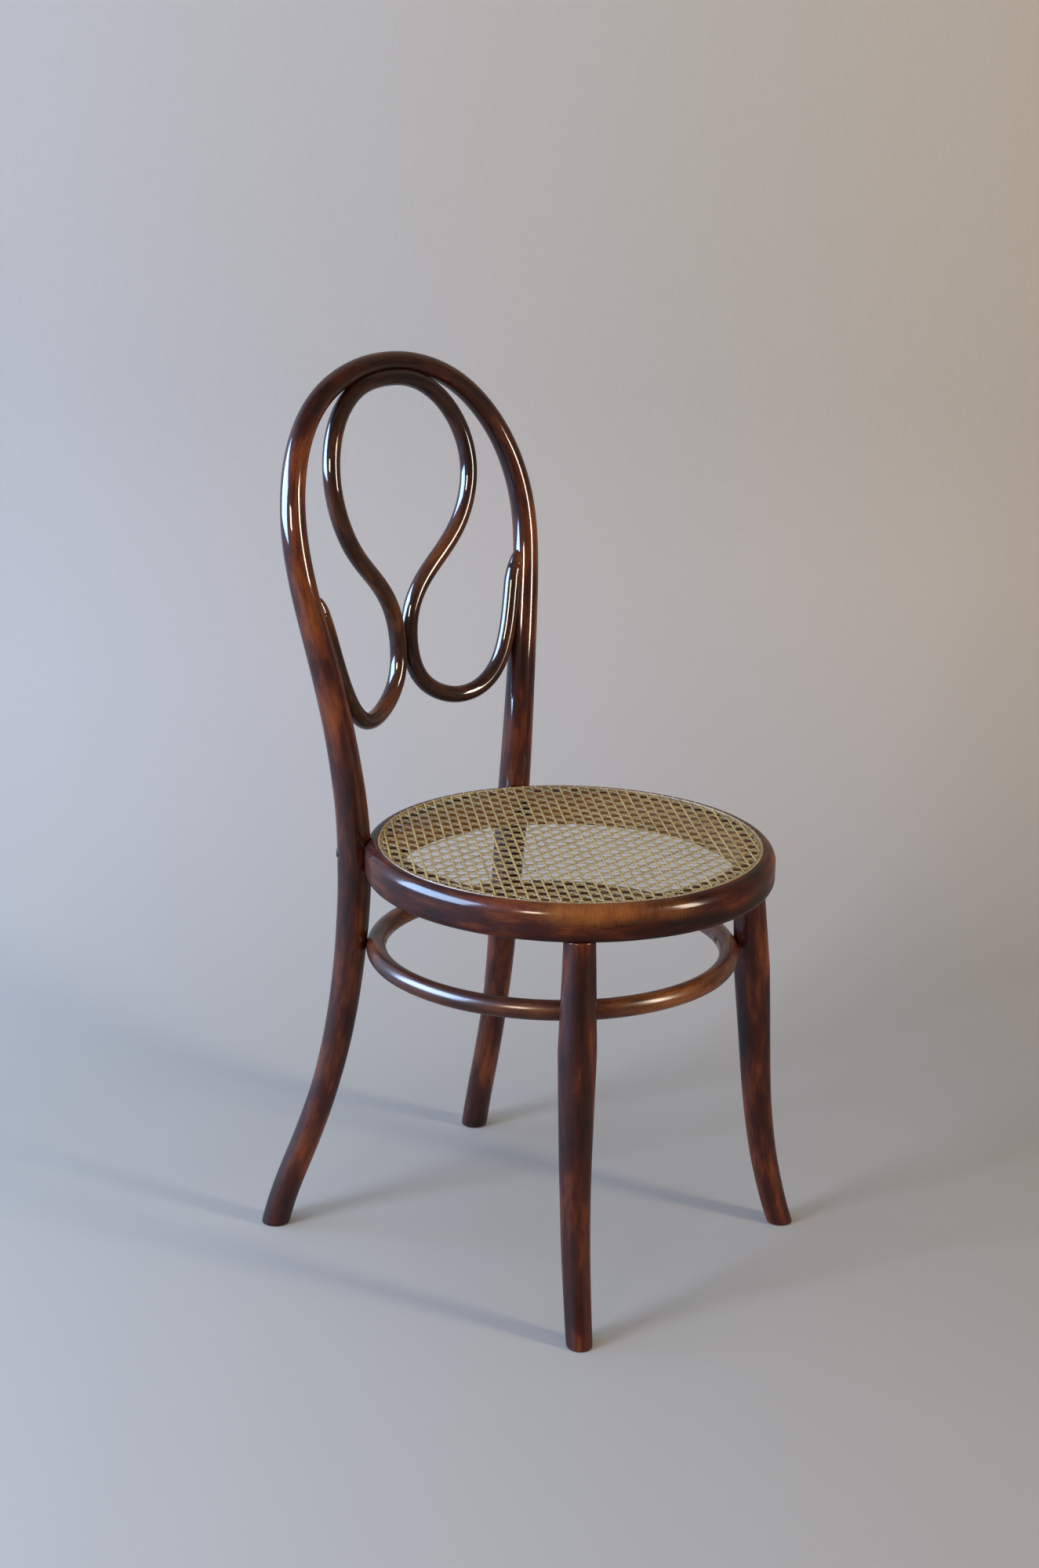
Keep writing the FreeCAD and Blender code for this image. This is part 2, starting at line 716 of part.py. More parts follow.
def make_front_leg(doc, sheet, side, label, tools):
    """A front leg: a tapering rod with a swelling under the seat and a tenon on top."""
    curve = leg_curve(sheet, side)
    stops = leg_stops(sheet)
    under = frame_underside(sheet)
    shares = span_shares(curve, 0.0, 1.0)
    shares += [share_at_height(curve, place, 0.0, 1.0) for place, _ in stops[1:-1]]
    shares.sort()
    formulas = [radius_formula(point_at(curve, share).z, stops) for share in shares]
    rod = add_rod(doc, f"{label}_rod", curve, shares, formulas)
    floor = add_block(doc, f"{label}_floor", f"-{BLOCK_HEIGHT}")
    shoulder = add_block(doc, f"{label}_shoulder", "Sizes.seat_top - Sizes.frame_thickness")
    shaft = add_cut(doc, f"{label}_shaft", rod, [floor, shoulder] + tools)
    joined = doc.addObject("Part::Fuse", f"{label}_joined")
    joined.Base = shaft
    joined.Tool = add_tenon(doc, f"{label}_tenon", leg_curve(sheet, LEFT_SIDE), side, under, "")
    return finish(joined, label)


def add_leg_ring(doc, sheet, name, depth, extra):
    """The ring that ties the legs, or the room for it."""
    base = Vector(0, depth, size(sheet, "ring_height"))
    return add_primitive(doc, "Torus", name, Placement(base, Rotation()),
                         Radius1="Sizes.ring_radius", Radius2=f"Sizes.ring_rod_radius{extra}")


# The cane seat

def cane_gaps(sheet):
    """The square gaps of the net that lie clear inside the seat frame."""
    pitch = size(sheet, "cane_gap_pitch")
    half = size(sheet, "cane_gap_width") / 2
    reach = cane_radius(sheet) - size(sheet, "cane_solid_edge")
    count = int(reach / pitch) + 1
    gaps = []
    for column in range(-count, count + 1):
        for row in range(-count, count + 1):
            across = column * pitch
            deep = row * pitch
            if math.hypot(abs(across) + half, abs(deep) + half) <= reach:
                corners = [Vector(across - half, deep - half, 0), Vector(across + half, deep - half, 0),
                           Vector(across + half, deep + half, 0), Vector(across - half, deep + half, 0)]
                gaps.append(Part.makePolygon(corners + corners[:1]))
    return gaps


def cane_radius(sheet):
    step = size(sheet, "frame_radius") - size(sheet, "frame_width") + size(sheet, "rebate_width")
    return step - size(sheet, "cane_margin")


def make_cane_panel(doc, sheet):
    """The woven seat: one flat net lying in the frame's rebate."""
    rim = Part.Wire([Part.makeCircle(cane_radius(sheet))])
    face = Part.makeFace([rim] + cane_gaps(sheet), "Part::FaceMakerBullseye")
    net = face.extrude(UP * size(sheet, "cane_thickness"))
    net.translate(UP * (size(sheet, "seat_top") - size(sheet, "rebate_depth")))
    return finish(add_shape(doc, "cane_net", net), "cane_panel")


def make_cane_binder(doc, sheet):
    """The flat strip of cane that covers the seat's edge all the way round."""
    outside = cane_radius(sheet)
    inside = outside - size(sheet, "binder_width")
    bottom = size(sheet, "seat_top") - size(sheet, "rebate_depth") + size(sheet, "cane_thickness")
    top = bottom + size(sheet, "binder_height")
    strip = turned([(inside, bottom), (outside, bottom), (outside, top), (inside, top)])
    return finish(add_shape(doc, "binder_strip", strip), "cane_binder")


# Bolts, washers and nuts

def make_seat_bolts(doc, sheet, places):
    """Two bolts with low domed heads."""
    shank = size(sheet, "bolt_radius")
    head = size(sheet, "bolt_head_radius")
    dome = size(sheet, "bolt_head_height")
    length = bolt_grip(sheet, places[0]) + size(sheet, "washer_thickness")
    length += size(sheet, "nut_thickness") + size(sheet, "bolt_tail")
    outline = [(0, 0), (shank, 0), (shank, length), (0, length)]
    bolt = turned([(0, -dome), (head * 0.6, -dome * 0.8), (head, 0)] + outline[1:])
    group = add_shape(doc, "bolts", Part.makeCompound([placed(bolt, place) for place in places]))
    return finish(group, "seat_bolts")


def pushed(place, distance):
    """The placement moved along its own Z."""
    return place.multiply(Placement(UP * distance, Rotation()))


def make_washers(doc, sheet, places):
    """Two flat washers against the seat frame's hollow inner face."""
    bore = size(sheet, "bolt_radius") + size(sheet, "bolt_clearance")
    rim = size(sheet, "washer_radius")
    thick = size(sheet, "washer_thickness")
    washer = turned([(bore, 0), (rim, 0), (rim, thick), (bore, thick)])
    grip = bolt_grip(sheet, places[0])
    group = Part.makeCompound([placed(washer, pushed(place, grip)) for place in places])
    return finish(add_shape(doc, "washers", group), "seat_bolt_washers")


def make_nuts(doc, sheet, places):
    """Two six-sided nuts against the washers."""
    bore = size(sheet, "bolt_radius") + size(sheet, "bolt_clearance")
    thick = size(sheet, "nut_thickness")
    corners = []
    for number in range(6):
        angle = math.radians(60 * number)
        corners.append(Vector(math.cos(angle), math.sin(angle), 0) * size(sheet, "nut_radius"))
    blank = Part.Face(Part.makePolygon(corners + corners[:1])).extrude(UP * thick)
    nut = blank.cut(Part.makeCylinder(bore, thick))
    reach = bolt_grip(sheet, places[0]) + size(sheet, "washer_thickness")
    group = Part.makeCompound([placed(nut, pushed(place, reach)) for place in places])
    return finish(add_shape(doc, "nuts", group), "seat_bolt_nuts")


# The whole chair

def make_chair(doc, sheet):
    """Build every piece and return the finished ones."""
    hoop = hoop_curve(sheet)
    scroll = scroll_curve(sheet, hoop)
    leg = leg_curve(sheet, LEFT_SIDE)
    ring_depth, ring_radius = solve_leg_ring(sheet, hoop, leg)
    put_size(sheet, len(SIZES) + 1, "ring_radius", ring_radius)
    doc.recompute()
    bolts = bolt_places(sheet, hoop)
    ring_screws = ring_screw_places(sheet, hoop, leg, ring_depth, ring_radius)
    tip_screws = tip_screw_places(sheet, hoop, scroll)
    crown_screw = [crown_screw_place(sheet, scroll)]

    bolt_bores = bolt_rooms(doc, sheet, bolts)
    ring_room = add_leg_ring(doc, sheet, "ring_room", ring_depth, " + Sizes.ring_clearance")
    ring_bores = add_rooms(doc, sheet, "ring_screw_room", ring_screws, size(sheet, "ring_screw_length"))
    tip_bores = add_rooms(doc, sheet, "tip_screw_room", tip_screws, size(sheet, "tip_screw_length"))
    crown_bores = add_rooms(doc, sheet, "crown_screw_room", crown_screw, size(sheet, "crown_screw_length"))
    leg_bores = [ring_room] + ring_bores
    envelope = add_seat_envelope(doc, sheet)

    pieces = [make_back_hoop(doc, hoop, [envelope] + bolt_bores + leg_bores + tip_bores + crown_bores),
              make_back_scroll(doc, sheet, scroll, hoop, tip_bores + crown_bores),
              make_seat_frame(doc, sheet, leg, bolt_bores),
              make_front_leg(doc, sheet, RIGHT_SIDE, "front_leg_right", leg_bores),
              make_front_leg(doc, sheet, LEFT_SIDE, "front_leg_left", leg_bores),
              make_cane_panel(doc, sheet),
              make_cane_binder(doc, sheet),
              make_seat_bolts(doc, sheet, bolts),
              make_washers(doc, sheet, bolts),
              make_nuts(doc, sheet, bolts),
              add_screws(doc, sheet, "leg_ring_screws", ring_screws, size(sheet, "ring_screw_length")),
              add_screws(doc, sheet, "scroll_tip_screws", tip_screws, size(sheet, "tip_screw_length")),
              add_screws(doc, sheet, "scroll_crown_screw", crown_screw, size(sheet, "crown_screw_length"))]
    ring = add_leg_ring(doc, sheet, "ring_rod", ring_depth, "")
    pieces.append(finish(add_cut(doc, "ring_cut", ring, ring_bores), "leg_ring"))
    return pieces


def check(doc, pieces):
    """Stop unless every object is sound and every piece is one whole valid shape."""
    for item in doc.Objects:
        if "Invalid" in item.State or "Error" in item.State:
            raise RuntimeError(f"{item.Name} did not build: {item.State}")
    for piece in pieces:
        if piece.Shape.isNull() or not piece.Shape.isValid():
            raise RuntimeError(f"{piece.Label} is not a valid solid")


def write(pieces):
    os.makedirs("parts", exist_ok=True)
    for piece in pieces:
        piece.Shape.exportStep(f"parts/{piece.Label}.step")


def main():
    doc = FreeCAD.newDocument("bistro_chair")
    sheet = make_sheet(doc)
    pieces = make_chair(doc, sheet)
    doc.recompute()
    check(doc, pieces)
    write(pieces)
    for piece in pieces:
        print(piece.Label, len(piece.Shape.Solids), "solids", round(piece.Shape.Volume / 1000, 2), "cm3")


main()
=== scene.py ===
"""Bentwood bistro chair with a hand-caned seat, dressed over its CAD frame."""
import logging
import math
from dataclasses import dataclass
from enum import Enum
from typing import Any, Callable, Dict, List, Optional, Sequence, Tuple

import bpy
import numpy as np
from mathutils import Matrix, Vector


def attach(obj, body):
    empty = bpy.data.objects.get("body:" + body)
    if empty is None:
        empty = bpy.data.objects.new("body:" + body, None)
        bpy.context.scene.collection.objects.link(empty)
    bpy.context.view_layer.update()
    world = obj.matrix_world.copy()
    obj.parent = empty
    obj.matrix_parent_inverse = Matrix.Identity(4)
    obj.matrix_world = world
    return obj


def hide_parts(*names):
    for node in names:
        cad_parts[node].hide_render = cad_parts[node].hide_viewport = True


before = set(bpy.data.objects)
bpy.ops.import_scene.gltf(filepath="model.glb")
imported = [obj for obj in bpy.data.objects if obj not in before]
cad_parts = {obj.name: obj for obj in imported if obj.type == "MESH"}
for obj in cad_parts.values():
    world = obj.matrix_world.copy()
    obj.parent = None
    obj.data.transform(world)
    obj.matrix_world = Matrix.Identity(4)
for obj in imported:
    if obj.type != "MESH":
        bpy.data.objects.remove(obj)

LOG = logging.getLogger("chair")
MM = 0.001
SEAT_Y = -30.4 * MM          # middle of the round seat in the chair's frame
FORWARD = np.array([0.0, -1.0, 0.0])
FRAME_RADIUS = 211.2         # outside of the seat frame, in millimetres
WAVE_TURNS = (0, 1, 2, 1, 3)  # how often each wave of the unevenness winds round the rod
WAVE_STEP = 0.7               # how much shorter each wave is than the one before
NEAR_MIDDLE = 20 * MM        # a head closer than this to the middle plane lies on it
HEAD_ROOM = 0.3 * MM         # gap round a head
HEAD_REACH = 6 * MM          # how far from a head's top its wood may lie
WIDE_SHARE = 0.9             # of a head's radius: what is farther out belongs to its rim
BACK = 1
AHEAD = -1
PATH_POINTS = 3000
ROD_WAVE = 0.31              # longest wave of a rod's unevenness
WOBBLE_FADE = 4 * MM         # under the surface by this much a rod is even
LEVEL_LOOKS = 200
ROUND_SIDES = 40
FOOT_EDGE = 1.8 * MM
FOOT_TRIM = 0.15 * MM
FOOT_JOIN = 0.055
OVERRUN = 14 * MM
EDGE_TURNS = np.radians(np.linspace(0, 90, 7))
FLAT_SHARES = np.array([0.02, 0.5, 0.9])
NOSE_TURNS = np.radians(np.linspace(4, 90, 9))
BLEND_SHARES = np.linspace(0, 1, 12)[1:-1]
GLUE_GAP = 0.1 * MM          # left between two pieces that touch
PATH_STEP = 5                # a rod's path is searched at every fifth point
BLOCK = 4000                 # points searched at a time
NOTCH_DEPTH = 8 * MM
STRAND_SHIFT = 0.77          # metres between strands in the pattern of colour
END_GAP = 0.8 * MM           # a strand has no point closer than this to its end
WEAVE_STEPS = np.array([-7.2, -4.2, -2.2, -1.0, 0.0, 1.0, 2.2, 4.2]) * MM


class Side(Enum):
    """The sitter's right and left, as the sign of X."""
    RIGHT = -1
    LEFT = 1


# Small tools

def linear(hex_colour: str) -> Tuple[float, float, float, float]:
    """Turn an sRGB hex colour into linear RGBA.

    Args:
        hex_colour: six hex digits, such as "4d2818".

    Returns:
        Linear red, green, blue and an alpha of one.
    """
    parts = [int(hex_colour[i:i + 2], 16) / 255 for i in (0, 2, 4)]
    light = [p / 12.92 if p <= 0.04045 else ((p + 0.055) / 1.055) ** 2.4 for p in parts]
    return (light[0], light[1], light[2], 1.0)


def add_node(tree: bpy.types.NodeTree, kind: str, settings: Optional[Dict[str, Any]] = None,
             links: Optional[Dict[Any, Any]] = None) -> bpy.types.Node:
    """Add one shader node with its settings, values and incoming links.

    Args:
        tree: the material's node tree.
        kind: the node's type name.
        settings: attributes of the node.
        links: for each input, by name or number, either the socket it is linked to or its value.

    Returns:
        The new node.
    """
    node = tree.nodes.new(kind)
    for name, value in (settings or {}).items():
        setattr(node, name, value)
    for name, source in (links or {}).items():
        if isinstance(source, bpy.types.NodeSocket):
            tree.links.new(source, node.inputs[name])
        else:
            node.inputs[name].default_value = source
    return node


def new_material(name: str) -> Tuple[bpy.types.Material, bpy.types.NodeTree]:
    """Add a material with an empty node tree.

    Args:
        name: its name.

    Returns:
        The material and its tree.
    """
    material = bpy.data.materials.new(name)
    material.use_nodes = True
    material.node_tree.nodes.clear()
    return material, material.node_tree


def close_tree(tree: bpy.types.NodeTree, shader: bpy.types.Node) -> None:
    """Link a shader to the material's output."""
    add_node(tree, "ShaderNodeOutputMaterial", links={"Surface": shader.outputs[0]})


def ramp(tree: bpy.types.NodeTree, value: bpy.types.NodeSocket,
         stops: Sequence[Tuple[float, Any]]) -> bpy.types.NodeSocket:
    """Turn a value into a colour.

    Args:
        tree: the material's node tree.
        value: the value.
        stops: pairs of a place and either a hex colour or a grey value.

    Returns:
        The colour.
    """
    node = add_node(tree, "ShaderNodeValToRGB", links={"Fac": value})
    elements = node.color_ramp.elements
    while len(elements) < len(stops):
        elements.new(0.5)
    for element, (place, colour) in zip(elements, stops):
        element.position = place
        element.color = linear(colour) if isinstance(colour, str) else (colour, colour, colour, 1.0)
    return node.outputs["Color"]


def noise(tree: bpy.types.NodeTree, vector: bpy.types.NodeSocket, scale: float = 1.0,
          stretch: Optional[Tuple[float, float, float]] = None, detail: float = 2.0, roughness: float = 0.5,
          distortion: float = 0.0) -> bpy.types.NodeSocket:
    """Add a grey noise.

    Args:
        tree: the material's node tree.
        vector: where it is read.
        scale: waves to a metre.
        stretch: waves to a metre along each axis, where they differ.
        detail: how many finer layers it has.
        roughness: how strong the finer layers are.
        distortion: how far it is pulled about.

    Returns:
        The noise, from zero to one.
    """
    if stretch is not None:
        vector = add_node(tree, "ShaderNodeMapping", links={"Vector": vector, "Scale": stretch}).outputs[0]
    levels = {"Vector": vector, "Scale": scale, "Detail": detail, "Roughness": roughness,
              "Distortion": distortion}
    return add_node(tree, "ShaderNodeTexNoise", links=levels).outputs["Fac"]


def ranged(tree: bpy.types.NodeTree, value: bpy.types.NodeSocket, source: Tuple[float, float],
           target: Tuple[float, float] = (0.0, 1.0), smooth: bool = False) -> bpy.types.NodeSocket:
    """Move a value from one range to another, and clip it there.

    Args:
        tree: the material's node tree.
        value: the value.
        source: the range it is read in.
        target: the range it is given.
        smooth: whether it follows a smooth step rather than a straight line.

    Returns:
        The new value.
    """
    settings = {"interpolation_type": "SMOOTHSTEP"} if smooth else {}
    limits = {"From Min": source[0], "From Max": source[1], "To Min": target[0], "To Max": target[1]}
    return add_node(tree, "ShaderNodeMapRange", settings, {"Value": value, **limits}).outputs[0]


def combine(tree: bpy.types.NodeTree, operation: str, *values: Any) -> bpy.types.NodeSocket:
    """Add, multiply or otherwise combine one or two values."""
    return add_node(tree, "ShaderNodeMath", {"operation": operation}, dict(enumerate(values))).outputs[0]


def blend(tree: bpy.types.NodeTree, share: Any, first: Any, second: Any,
          kind: str = "MIX") -> bpy.types.NodeSocket:
    """Mix two colours by a share."""
    settings = {"data_type": "RGBA", "blend_type": kind}
    return add_node(tree, "ShaderNodeMix", settings, {0: share, 6: first, 7: second}).outputs[2]


def split(tree: bpy.types.NodeTree, vector: bpy.types.NodeSocket) -> Any:
    """The X, Y and Z of a vector."""
    return add_node(tree, "ShaderNodeSeparateXYZ", links={"Vector": vector}).outputs


def smooth_path(poles: np.ndarray, count: int) -> np.ndarray:
    """Points along a clamped uniform cubic B-spline.

    Each basis function of degree d is the sum of two of degree d-1, each times a ramp over its
    own knots.

    Args:
        poles: control points, one row each.
        count: how many points to return.

    Returns:
        Points evenly spread over the curve's parameter.
    """
    number = len(poles)
    knots = np.concatenate([np.zeros(3), np.linspace(0, 1, number - 2), np.ones(3)])
    at = np.linspace(0, 1, count)
    at[-1] = 1 - 1e-12
    basis = ((at[:, None] >= knots[None, :-1]) & (at[:, None] < knots[None, 1:])).astype(float)
    for degree in (1, 2, 3):
        rise = knots[degree:-1] - knots[:-degree - 1]
        fall = knots[degree + 1:] - knots[1:-degree]
        up = np.where(rise > 0, (at[:, None] - knots[:-degree - 1]) / np.where(rise > 0, rise, 1), 0)
        down = np.where(fall > 0, (knots[degree + 1:] - at[:, None]) / np.where(fall > 0, fall, 1), 0)
        basis = up * basis[:, :-1] + down * basis[:, 1:]
    return basis @ poles


def unit(vectors: np.ndarray) -> np.ndarray:
    """Each row divided by its own length."""
    return vectors / np.linalg.norm(vectors, axis=-1, keepdims=True)


def smoothstep(values: np.ndarray) -> np.ndarray:
    """Zero below zero, one above one, and 3t^2 - 2t^3 between."""
    clipped = np.clip(values, 0.0, 1.0)
    return clipped * clipped * (3 - 2 * clipped)


def wobble(place: np.ndarray, around: np.ndarray, seed: int, depth: float, wave: float) -> np.ndarray:
    """Gentle unevenness of a hand-finished rod: a sum of sines along and around it.

    Args:
        place: distance along the rod.
        around: angle about it.
        seed: picks the sines' phases.
        depth: largest height, in metres.
        wave: longest wave along the rod, in metres.

    Returns:
        Heights of the same shape as the inputs.
    """
    random = np.random.default_rng(seed)
    total = np.zeros(np.broadcast(place, around).shape)
    for step, turns in enumerate(WAVE_TURNS):
        length = wave / (1 + WAVE_STEP * step)
        phase, lean = random.uniform(0, 2 * np.pi, 2)
        total = total + np.sin(2 * np.pi * place / length + phase + turns * around + lean)
    return total * depth / len(WAVE_TURNS)


def make_mesh(name: str, points: np.ndarray, faces: np.ndarray, unbent: Optional[np.ndarray] = None,
              tips: Sequence[Sequence[int]] = ()) -> bpy.types.Object:
    """Put whole arrays into a new mesh object, shaded smooth.

    Args:
        name: the piece's name.
        points: vertices, one row each.
        faces: four vertex numbers a row.
        unbent: where each vertex would lie if its rod or strand were straight, for the grain.
        tips: triangles that close the poles.

    Returns:
        The new object, linked to the scene.
    """
    mesh = bpy.data.meshes.new(name)
    mesh.from_pydata(points.tolist(), [], faces.tolist() + [list(tip) for tip in tips])
    if unbent is not None:
        layer = mesh.attributes.new("unbent", "FLOAT_VECTOR", "POINT")
        layer.data.foreach_set("vector", unbent.astype(np.float32).ravel())
    mesh.polygons.foreach_set("use_smooth", np.ones(len(mesh.polygons), bool))
    mesh.update()
    piece = bpy.data.objects.new(name, mesh)
    bpy.context.scene.collection.objects.link(piece)
    return piece


def grid_faces(rows: int, columns: int, closed_rows: bool = False) -> np.ndarray:
    """Quads of a grid whose columns close on themselves, facing outward.

    Args:
        rows: vertices along.
        columns: vertices around.
        closed_rows: whether the last row joins the first.

    Returns:
        Four vertex numbers a row.
    """
    row, column = np.meshgrid(np.arange(rows if closed_rows else rows - 1), np.arange(columns), indexing="ij")
    after = (row + 1) % rows
    beside = (column + 1) % columns
    corners = [row * columns + column, after * columns + column, after * columns + beside,
               row * columns + beside]
    return np.stack(corners, -1).reshape(-1, 4)


def dress(piece: bpy.types.Object, material: bpy.types.Material, slot: str, *nodes: str) -> bpy.types.Object:
    """Finish a piece: its material, its body and the CAD nodes it stands for."""
    piece.data.materials.clear()
    piece.data.materials.append(material)
    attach(piece, "root")
    if nodes:
        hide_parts(*nodes)
    LOG.info("%s: %d faces", piece.name, len(piece.data.polygons))
    return piece


# Finishes

@dataclass(frozen=True)
class PolishedBeech:
    """Steam-bent beech, stained dark walnut and French polished: a glassy coat over long grain."""
    name: str = "polished_beech"
    dark: str = "200c08"
    middle: str = "44190e"
    warm: str = "84431c"
    worn: str = "8f5627"
    inside_pale: str = "8d6238"
    fleck: str = "240d07"
    coat: float = 0.6
    coat_roughness: float = 0.06
    wear: float = 0.0
    worn_toward: Tuple[float, float, float] = (-0.646, -0.761, 0.0)

    def material(self) -> bpy.types.Material:
        """Build the finish from the unbent place on each rod.

        Returns:
            The material.
        """
        material, tree = new_material(self.name)
        unbent = add_node(tree, "ShaderNodeAttribute", {"attribute_name": "unbent"}).outputs["Vector"]
        place = add_node(tree, "ShaderNodeTexCoord").outputs["Object"]
        # Stain lies unevenly: clouds some 70 mm long and 17 mm round the rod.
        cloud = noise(tree, unbent, stretch=(60, 60, 14), detail=4.0, roughness=0.6)
        # Grain lines about a millimetre wide that run some 80 mm along the rod.
        grain = noise(tree, unbent, stretch=(900, 900, 12), detail=3.0, roughness=0.55, distortion=0.3)
        # Beech flecks: short dark dashes, 0.4 mm wide and 3 mm long.
        fleck = noise(tree, unbent, stretch=(2200, 2200, 300), detail=1.0)
        # Whole stretches, some 150 mm long, took the stain darker or warmer.
        stretch = ranged(tree, noise(tree, place, 6.5, detail=1.0), (0.3, 0.7), (-0.1, 0.1))
        stained = combine(tree, "ADD", combine(tree, "ADD", cloud, stretch), self.thin_uprights(tree, place))
        base = ramp(tree, stained, [(0.32, self.dark), (0.52, self.middle), (0.76, self.warm)])
        lined = blend(tree, 0.85, base, ramp(tree, grain, [(0.36, 0.62), (0.62, 1.0)]), "MULTIPLY")
        colour = blend(tree, ramp(tree, fleck, [(0.62, 0.0), (0.72, 1.0)]), lined, linear(self.fleck))
        if self.wear > 0:
            colour = self.worn_colour(tree, colour, place, unbent)
            colour = self.pale_inside(tree, colour, unbent)
        bump = add_node(tree, "ShaderNodeBump", links={"Strength": 0.1, "Distance": 0.0002, "Height": grain})
        close_tree(tree, add_node(tree, "ShaderNodeBsdfPrincipled", links={
            "Base Color": colour, "Roughness": 0.5, "IOR": 1.5, "Specular IOR Level": 0.05,
            "Coat Weight": self.coat, "Coat Roughness": self.coat_roughness, "Coat IOR": 1.5,
            "Normal": bump.outputs[0]}))
        return material

    def thin_uprights(self, tree: bpy.types.NodeTree, place: bpy.types.NodeSocket) -> bpy.types.NodeSocket:
        """How much thinner the stain lies on the uprights' middles, where hands rub it.

        Args:
            tree: the material's node tree.
            place: the place on the chair.

        Returns:
            A share to add to the clouds.
        """
        parts = split(tree, place)
        outer = ranged(tree, combine(tree, "ABSOLUTE", parts["X"]), (0.15, 0.165))
        above = ranged(tree, parts["Z"], (0.5, 0.58), smooth=True)
        below = ranged(tree, parts["Z"], (0.82, 0.74), (0.0, 0.11), smooth=True)
        return combine(tree, "MULTIPLY", combine(tree, "MULTIPLY", above, below), outer)

    def worn_colour(self, tree: bpy.types.NodeTree, colour: bpy.types.NodeSocket,
                    place: bpy.types.NodeSocket, unbent: bpy.types.NodeSocket) -> bpy.types.NodeSocket:
        """Rub the stain through to golden wood where legs and hands pass, with fine cross marks.

        Args:
            tree: the material's node tree.
            colour: the unworn colour.
            place: the place on the chair.
            unbent: the unbent place.

        Returns:
            The worn colour.
        """
        spread = noise(tree, place, 16.0, detail=5.0, roughness=0.65)
        beside = add_node(tree, "ShaderNodeVectorMath", {"operation": "DOT_PRODUCT"},
                          {0: place, 1: self.worn_toward}).outputs["Value"]
        front = ranged(tree, beside, (0.187, 0.232), smooth=True)
        high = ranged(tree, split(tree, place)["Z"], (0.416, 0.436), smooth=True)
        # Marks across the grain, some 1.6 mm apart and 11 mm long.
        cross = noise(tree, unbent, stretch=(90, 90, 620), detail=5.0, roughness=0.75)
        rubbed = combine(tree, "MULTIPLY", combine(tree, "MULTIPLY", spread, front), high)
        rubbed = combine(tree, "MULTIPLY", rubbed, ranged(tree, cross, (0.35, 0.65), (0.78, 1.0)))
        mask = ranged(tree, rubbed, (0.18, 0.66), (0.0, self.wear), smooth=True)
        return blend(tree, mask, colour, linear(self.worn))

    def pale_inside(self, tree: bpy.types.NodeTree, colour: bpy.types.NodeSocket,
                    unbent: bpy.types.NodeSocket) -> bpy.types.NodeSocket:
        """Make the ring's hollow inner face, under the cane, paler.

        Args:
            tree: the material's node tree.
            colour: the stained colour.
            unbent: the unbent place, whose X is the distance from the seat's middle.

        Returns:
            The colour of the whole ring.
        """
        inside = ranged(tree, split(tree, unbent)["X"], (0.181, 0.178), (0.0, 0.8))
        return blend(tree, inside, colour, linear(self.inside_pale))


@dataclass(frozen=True)
class WovenCane:
    """Split rattan cane: the glossy outer bark of the palm, aged from straw to brown."""
    name: str = "woven_cane"
    pale: str = "b8a66c"
    straw: str = "96834a"
    brown: str = "67562a"

    def material(self) -> bpy.types.Material:
        """Build the finish from the unbent place on each strand.

        Returns:
            The material.
        """
        material, tree = new_material(self.name)
        unbent = add_node(tree, "ShaderNodeAttribute", {"attribute_name": "unbent"}).outputs["Vector"]
        # Fibres 0.7 mm wide and 40 mm long, over strands that differ from one another.
        streak = noise(tree, unbent, stretch=(1500, 1500, 25), detail=3.0)
        strand = noise(tree, unbent, stretch=(1, 1, 9))
        half = combine(tree, "MULTIPLY", combine(tree, "ADD", streak, strand), 0.5)
        colour = ramp(tree, half, [(0.34, self.brown), (0.5, self.straw), (0.66, self.pale)])
        bump = add_node(tree, "ShaderNodeBump", links={"Strength": 0.3, "Distance": 0.0002, "Height": streak})
        close_tree(tree, add_node(tree, "ShaderNodeBsdfPrincipled", links={
            "Base Color": colour, "Roughness": 0.4, "IOR": 1.5, "Normal": bump.outputs[0]}))
        return material


@dataclass(frozen=True)
class AgedSteel:
    """Plain steel screws and bolts, browned by age: dull metal with darker spots."""
    name: str = "aged_steel"
    dark: str = "0c0a09"
    light: str = "26211d"

    def material(self) -> bpy.types.Material:
        """Build the finish.

        Returns:
            The material.
        """
        material, tree = new_material(self.name)
        # Rust spots some 2 mm across.
        spots = noise(tree, add_node(tree, "ShaderNodeTexCoord").outputs["Object"], 500.0, detail=4.0)
        close_tree(tree, add_node(tree, "ShaderNodeBsdfPrincipled", links={
            "Base Color": ramp(tree, spots, [(0.35, self.dark), (0.65, self.light)]), "Metallic": 0.8,
            "Roughness": ranged(tree, spots, (0.0, 1.0), (0.45, 0.7))}))
        return material


# Places where a screw or bolt is let into the wood


@dataclass(frozen=True)
class Fixing:
    """A screw's or bolt's head: the middle of its top, the way its shank runs, and its radius."""
    top: np.ndarray
    heading: np.ndarray
    radius: float


